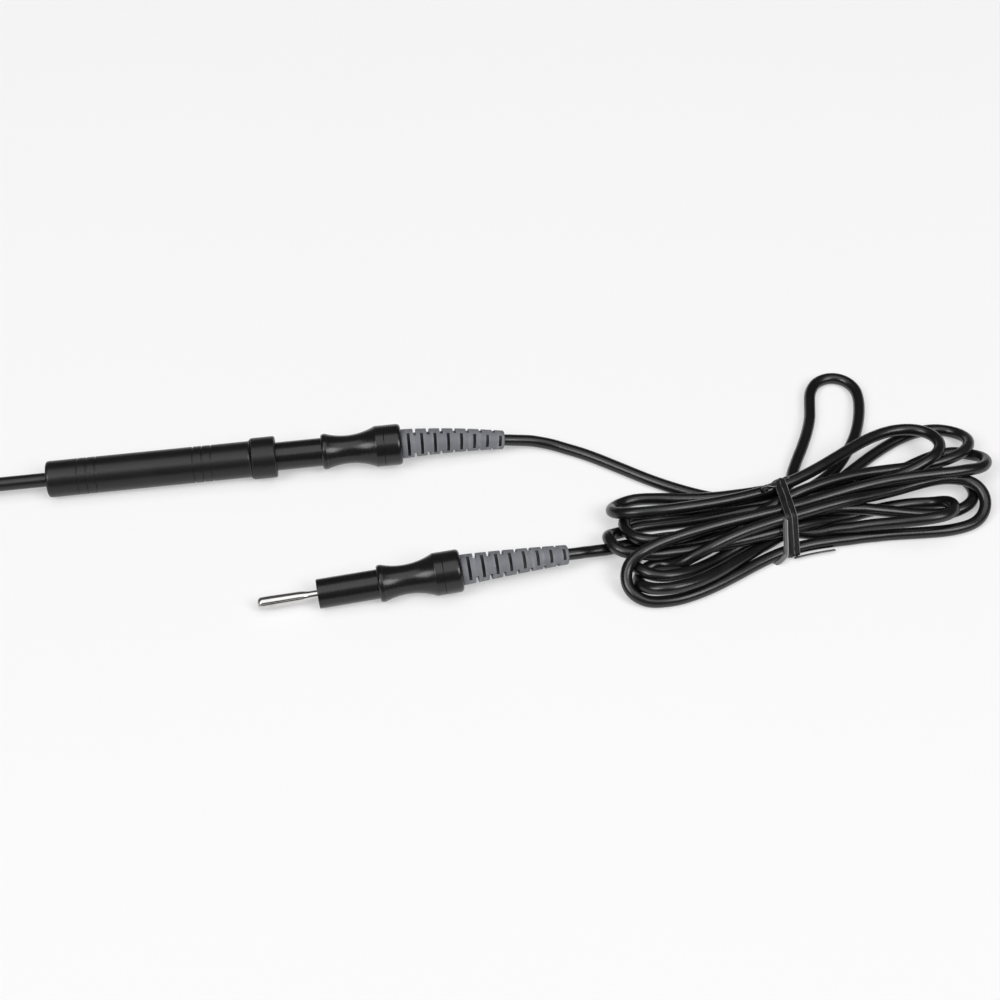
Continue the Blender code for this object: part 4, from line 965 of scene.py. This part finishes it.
# The boots: mid grey strain reliefs, moulded on the cable. Each tapers over 37 mm, with slots cut in turn from
# two pairs of sides so that it bends evenly, and droops under the cable's weight.
BOOT_RADIUS = 5.25
BOOT_END_RADIUS = 3.4
BOOT_RING = 1.6
SLOT_PITCH = 4.7
SLOT_WIDTH = 1.1
SLOT_FLOORS = (3.2, 2.9)
SLOTS_IN_A_ROW = 8
FIRST_SLOT = 2.5
SLOT_EDGE_WIDTH = 0.12
SLOT_EDGE_DEPTH = 0.25
BOOT_BORE = CABLE_DIAMETER / 2 + 0.08
BOOT_RINGS = 40

grey_moulding, tree, shader = new_material("grey_moulding", Specular_IOR_Level=0.35)
grain = textured(tree, SURFACE_GRAIN, Grain_Scale=3200.0, Mottle_Scale=120.0)
marks = textured(tree, HANDLING_MARKS, Smudge_Scale=90.0, Scratch_Scale=900.0)
grey = blended(tree, grain["Mottle"], (0.155, 0.16, 0.178), (0.185, 0.19, 0.205))
grey = blended(tree, marks["Smudges"], grey, (0.13, 0.132, 0.14))
grey = blended(tree, worn_mask(tree, 500.0), grey, (0.27, 0.275, 0.285))
finished(tree, shader, grey, spread(tree, grain["Mottle"], 0.5, 0.64), grain["Height"], 0.25, 0.05)

# Painted shade: a near-black finish for the slots' floors, which stands in for the shade down in the slots.
painted_slot_shade = mottled(
    "painted_slot_shade", ((0.006, 0.006, 0.007), (0.014, 0.014, 0.016)), (0.45, 0.6),
    (3000.0, 200.0), (0.15, 0.04), Specular_IOR_Level=0.3,
)


def show_slots(mesh, slots, roll):
    """Paints the floor of each slot near-black as painted shade, and marks the slots' outer edges for the lighter
    grey.
    """
    mesh.materials.append(painted_slot_shade)
    edge_mark = mesh.attributes.get("edge") or mesh.attributes.new("edge", "FLOAT", "POINT")
    turned_back = Matrix.Rotation(-roll, 3, "X")
    spots = [turned_back @ vertex.co / MM for vertex in mesh.vertices]
    for index, spot in enumerate(spots):
        for along, _, _ in slots:
            off = abs(spot.x - along)
            outside = BOOT_RADIUS + (BOOT_END_RADIUS - BOOT_RADIUS) * (along - PLUG_LENGTH) / BOOT_LENGTH
            beside = SLOT_WIDTH / 2 - 0.02 < off < SLOT_WIDTH / 2 + SLOT_EDGE_WIDTH
            if beside and spot.yz.length > outside - SLOT_EDGE_DEPTH:
                edge_mark.data[index].value = 1.0
    for face in mesh.polygons:
        corners = [spots[corner] for corner in face.vertices]
        for along, floor, axis in slots:
            if all(
                abs(corner.x - along) < SLOT_WIDTH / 2 + 0.01 and abs(abs(corner[axis]) - floor) < 0.2
                for corner in corners
            ):
                # This floor face takes the painted shade.
                face.material_index = 1


def strain_relief(name, place, roll, bend):
    """A boot: turned in rings fine enough to bend, slotted, and then bent down in a plane turned aside."""
    start, end = PLUG_LENGTH + 0.05, PLUG_LENGTH + BOOT_LENGTH
    outline = [(BOOT_SHANK_FRONT, BOOT_BORE, 0), (BOOT_SHANK_FRONT, BOOT_SHANK_RADIUS, 0)]
    outline += [(start, BOOT_SHANK_RADIUS, 0), (start, BOOT_RADIUS, 0.25), (start + BOOT_RING, BOOT_RADIUS, 0.2)]
    for ring in range(1, BOOT_RINGS):
        along = start + BOOT_RING + (end - 0.5 - start - BOOT_RING) * ring / BOOT_RINGS
        outline.append((along, BOOT_RADIUS + (BOOT_END_RADIUS - BOOT_RADIUS) * ring / BOOT_RINGS, 0))
    outline += [(end - 0.25, BOOT_END_RADIUS, 0.1), (end, BOOT_END_RADIUS - 0.2, 0.1), (end, BOOT_BORE, 0)]
    inside = [
        (BOOT_SHANK_FRONT + (end - BOOT_SHANK_FRONT) * ring / BOOT_RINGS, BOOT_BORE, 0)
        for ring in range(BOOT_RINGS + 1)
    ]
    boot = revolved(name, place, outline, inside, grey_moulding, SMALL_TURN)
    boxes, slots = [], []
    count = 2 * SLOTS_IN_A_ROW - 1
    for index in range(count):
        along = PLUG_LENGTH + FIRST_SLOT + index * SLOT_PITCH / 2
        floor = SLOT_FLOORS[0] + (SLOT_FLOORS[1] - SLOT_FLOORS[0]) * index / (count - 1)
        slots.append((along, floor, 1 if index % 2 == 0 else 2))
        for side in (-1, 1):
            reach = side * (floor + 2.0)
            if index % 2 == 0:
                boxes.append(((along, reach, 0.0), (SLOT_WIDTH, 4.0, 14.0)))
            else:
                boxes.append(((along, 0.0, reach), (SLOT_WIDTH, 14.0, 4.0)))
    sawn(boot, boxes, roll, 0.07)
    show_slots(boot.data, slots, roll)
    droop, aside = bend
    angle = 2 * droop / BOOT_LENGTH
    arc = BOOT_LENGTH / angle * MM
    boot.data.transform(Matrix.Rotation(-aside, 4, "X"))
    for vertex in boot.data.vertices:
        along = vertex.co.x - PLUG_LENGTH * MM
        if along > 0:
            turn = along / arc
            height = arc + vertex.co.z
            vertex.co.x = PLUG_LENGTH * MM + height * sin(turn)
            vertex.co.z = height * cos(turn) - arc
    boot.data.transform(Matrix.Rotation(aside, 4, "X"))
    smoothed(boot.data, 40.0)
    return boot


for name, place, roll, bend in (
    ("handle_plug", HANDLE_PLUG, 140.0, HANDLE_BOOT_BEND),
    ("generator_plug", GENERATOR_PLUG, 125.0, GENERATOR_BOOT_BEND),
):
    boot = strain_relief(name + "_strain_relief", place, radians(roll), bend)
    joins(boot, "cable", "grey_rubber", name + "_boot")


# The twist tie: a flat black plastic ribbon with a wire down its middle, whose edges are painted a lighter grey as a
# painted highlight. It goes twice round the bundle and is twisted together at the far top. A wide cut end hangs down
# at the near side, lightened all over towards that grey, and a thin one lies on its edge beside the lowest run.
RIBBON_WIDTH = 2.4
RIBBON_THICKNESS = 0.4
RIBBON_RIDGE = 0.4
RIBBON_CLEAR = 0.35
RIBBON_LIES_AT = 0.04
TIE_DRIFT = 1.9
TIE_START = radians(70.0)
TIE_LEAN = 0.17
# Where an end is round the bundle, in degrees, and along it, and how far off it.
TWISTED_END = ((84.0, 83.0, 81.0), (-8.0, -4.6, -1.2), 0.7)
TWIST_TURNS = 0.75
HANGING_END = (np.linspace(134.0, 221.0, 30), np.linspace(-3.0, -8.0, 30), 0.9)
HANGING_TURN = 3.2
# How far the hanging end is lightened all over towards the painted highlight grey of the edges.
HANGING_LIGHTENED = 0.45
# The thin end's places along X, and the way it leans.
THIN_END = (382.0, 386.5, 391.0, 396.5)
THIN_END_LEANS = (0.0, 0.77, 0.64)

tie_plastic, tree, shader = new_material("tie_plastic", Specular_IOR_Level=0.35)
grain = textured(tree, SURFACE_GRAIN, Grain_Scale=3000.0, Mottle_Scale=260.0)
# Painted highlight: where the section marks an edge, the ribbon turns a lighter grey.
edge = node(tree, "ShaderNodeAttribute", attribute_name="edge")
dark = blended(tree, grain["Mottle"], (0.006, 0.006, 0.006), (0.012, 0.012, 0.012))
painted_edge_highlight = blended(tree, grain["Mottle"], (0.26, 0.26, 0.26), (0.4, 0.4, 0.4))
edged = blended(tree, edge.outputs["Fac"], dark, painted_edge_highlight)
finished(tree, shader, edged, spread(tree, grain["Mottle"], 0.4, 0.52), grain["Height"], 0.2, 0.04)


def ribbon(name, stretches):
    """A ribbon swept along lines, each flat to its own outward directions, with the wire's ridge in its middle.
    The third value of a stretch is how far its whole surface is lightened towards the painted highlight grey of the
    edges."""
    half, thick = RIBBON_WIDTH / 2, RIBBON_THICKNESS / 2
    # Each section point's third value is its share of the painted edge highlight: most on the left edge, less on the
    # right, least at the underside corners.
    section = [
        (-half, 0.0, 1.0), (-half * 0.9, thick, 1.0), (-half * 0.8, thick * 0.8, 0.0), (-RIBBON_RIDGE, thick, 0.0),
        (-RIBBON_RIDGE * 0.5, thick * 2.0, 0.0), (RIBBON_RIDGE * 0.5, thick * 2.0, 0.0), (RIBBON_RIDGE, thick, 0.0),
        (half * 0.8, thick * 0.8, 0.0), (half * 0.92, thick, 0.4), (half, 0.0, 0.4),
        (half * 0.92, -thick, 0.2), (0.0, -thick, 0.0), (-half * 0.92, -thick, 0.2),
    ]
    shape = bmesh.new()
    edge_mark = shape.verts.layers.float.new("edge")
    for line, outward, lightened in stretches:
        rings = []
        for index, point in enumerate(line):
            before, after = line[max(index - 1, 0)], line[min(index + 1, len(line) - 1)]
            along = unit(after - before)
            up = unit(outward[index] - along * np.dot(outward[index], along))
            aside = np.cross(along, up)
            ring = []
            for across, height, mark in section:
                spot = point + aside * across + up * height
                spot[2] = max(spot[2], RIBBON_LIES_AT)
                corner = shape.verts.new(spot * MM)
                corner[edge_mark] = max(mark, lightened)
                ring.append(corner)
            rings.append(ring)
        for ring, following in zip(rings, rings[1:]):
            for index in range(len(section)):
                after = (index + 1) % len(section)
                shape.faces.new((ring[index], ring[after], following[after], following[index]))
        shape.faces.new(rings[0])
        shape.faces.new(rings[-1][::-1])
    return piece_of(name, shape, tie_plastic, 50.0)


def bundle_outline(clear, count=120):
    """The tight line round the runs in the tie, seen along it: (across, height) pairs, and outward directions."""
    near = route[np.abs((route[:, :2] - TIE_PLACE) @ TIE_FORWARD[:2]) < 1.4]
    near = near[np.abs((near[:, :2] - TIE_PLACE) @ TIE_ACROSS[:2]) < 15.0]
    spots = np.column_stack([(near[:, :2] - TIE_PLACE) @ TIE_ACROSS[:2], near[:, 2]])
    turn = np.linspace(0.0, 2 * pi, count, endpoint=False)
    out = np.column_stack([np.cos(turn), np.sin(turn)])
    reach = (spots @ out.T).max(axis=0) + CABLE_DIAMETER / 2 + clear
    slope = (np.roll(reach, -1) - np.roll(reach, 1)) / (2 * (turn[1] - turn[0]))
    side = np.column_stack([-np.sin(turn), np.cos(turn)])
    line = out * reach[:, None] + side * slope[:, None]
    line[:, 1] = np.maximum(line[:, 1], RIBBON_THICKNESS)
    return line, out


def on_bundle(angles, drift, clear):
    """Points round the bundle at some angles and distances along it, and their outward directions."""
    outline, out = bundle_outline(clear)
    spot = np.asarray(angles) / (2 * pi) * len(outline)
    low = np.floor(spot).astype(int)
    part = (spot - low)[:, None]
    flat = outline[low % len(outline)] * (1 - part) + outline[(low + 1) % len(outline)] * part
    ways = out[low % len(outline)] * (1 - part) + out[(low + 1) % len(outline)] * part
    along = np.asarray(drift) + TIE_LEAN * flat[:, 0]
    up = np.array([0.0, 0.0, 1.0])
    points = np.array([*TIE_PLACE, 0.0]) + flat[:, :1] * TIE_ACROSS + flat[:, 1:] * up
    points = points + along[:, None] * TIE_FORWARD
    return points, ways[:, :1] * TIE_ACROSS + ways[:, 1:] * up


def twisted_ends(points):
    """The two ends where they are twisted together, as one ribbon that turns about its own line."""
    line = through([np.array(point) for point in points], 10)
    turn = np.linspace(0.0, 2 * pi * TWIST_TURNS, len(line))[:, None]
    along = unit(line[-1] - line[0])
    aside = unit(np.cross(along, (0.0, 0.0, 1.0)))
    return line, np.cos(turn) * np.cross(aside, along) + np.sin(turn) * aside


def end_beside(marks):
    """The thin cut end that leans on its edge along the near side of the lowest run."""
    points = []
    for along in marks:
        beside = route[np.abs(route[:, 0] - along) < 1.5]
        points.append(np.array([along, beside[:, 1].min() - CABLE_DIAMETER / 2 - 0.9, 1.0]))
    line = through(points, 8)
    return line, np.tile(THIN_END_LEANS, (len(line), 1))


round_twice = np.linspace(TIE_START, TIE_START + 4 * pi, 130)
hanging, outward = on_bundle(np.radians(HANGING_END[0]), *HANGING_END[1:])
top, _ = on_bundle(np.radians(TWISTED_END[0]), *TWISTED_END[1:])
tie = ribbon("twist_tie_ribbon", [
    (*on_bundle(round_twice, np.linspace(-TIE_DRIFT, TIE_DRIFT, 130), RIBBON_CLEAR), 0.0),
    (hanging, outward - HANGING_TURN * TIE_FORWARD, HANGING_LIGHTENED),
    (*end_beside(THIN_END), 0.0),
    (*twisted_ends(top), 0.0),
])
joins(tie, "cable", "black_satin", "twist_tie")


bpy.context.view_layer.update()
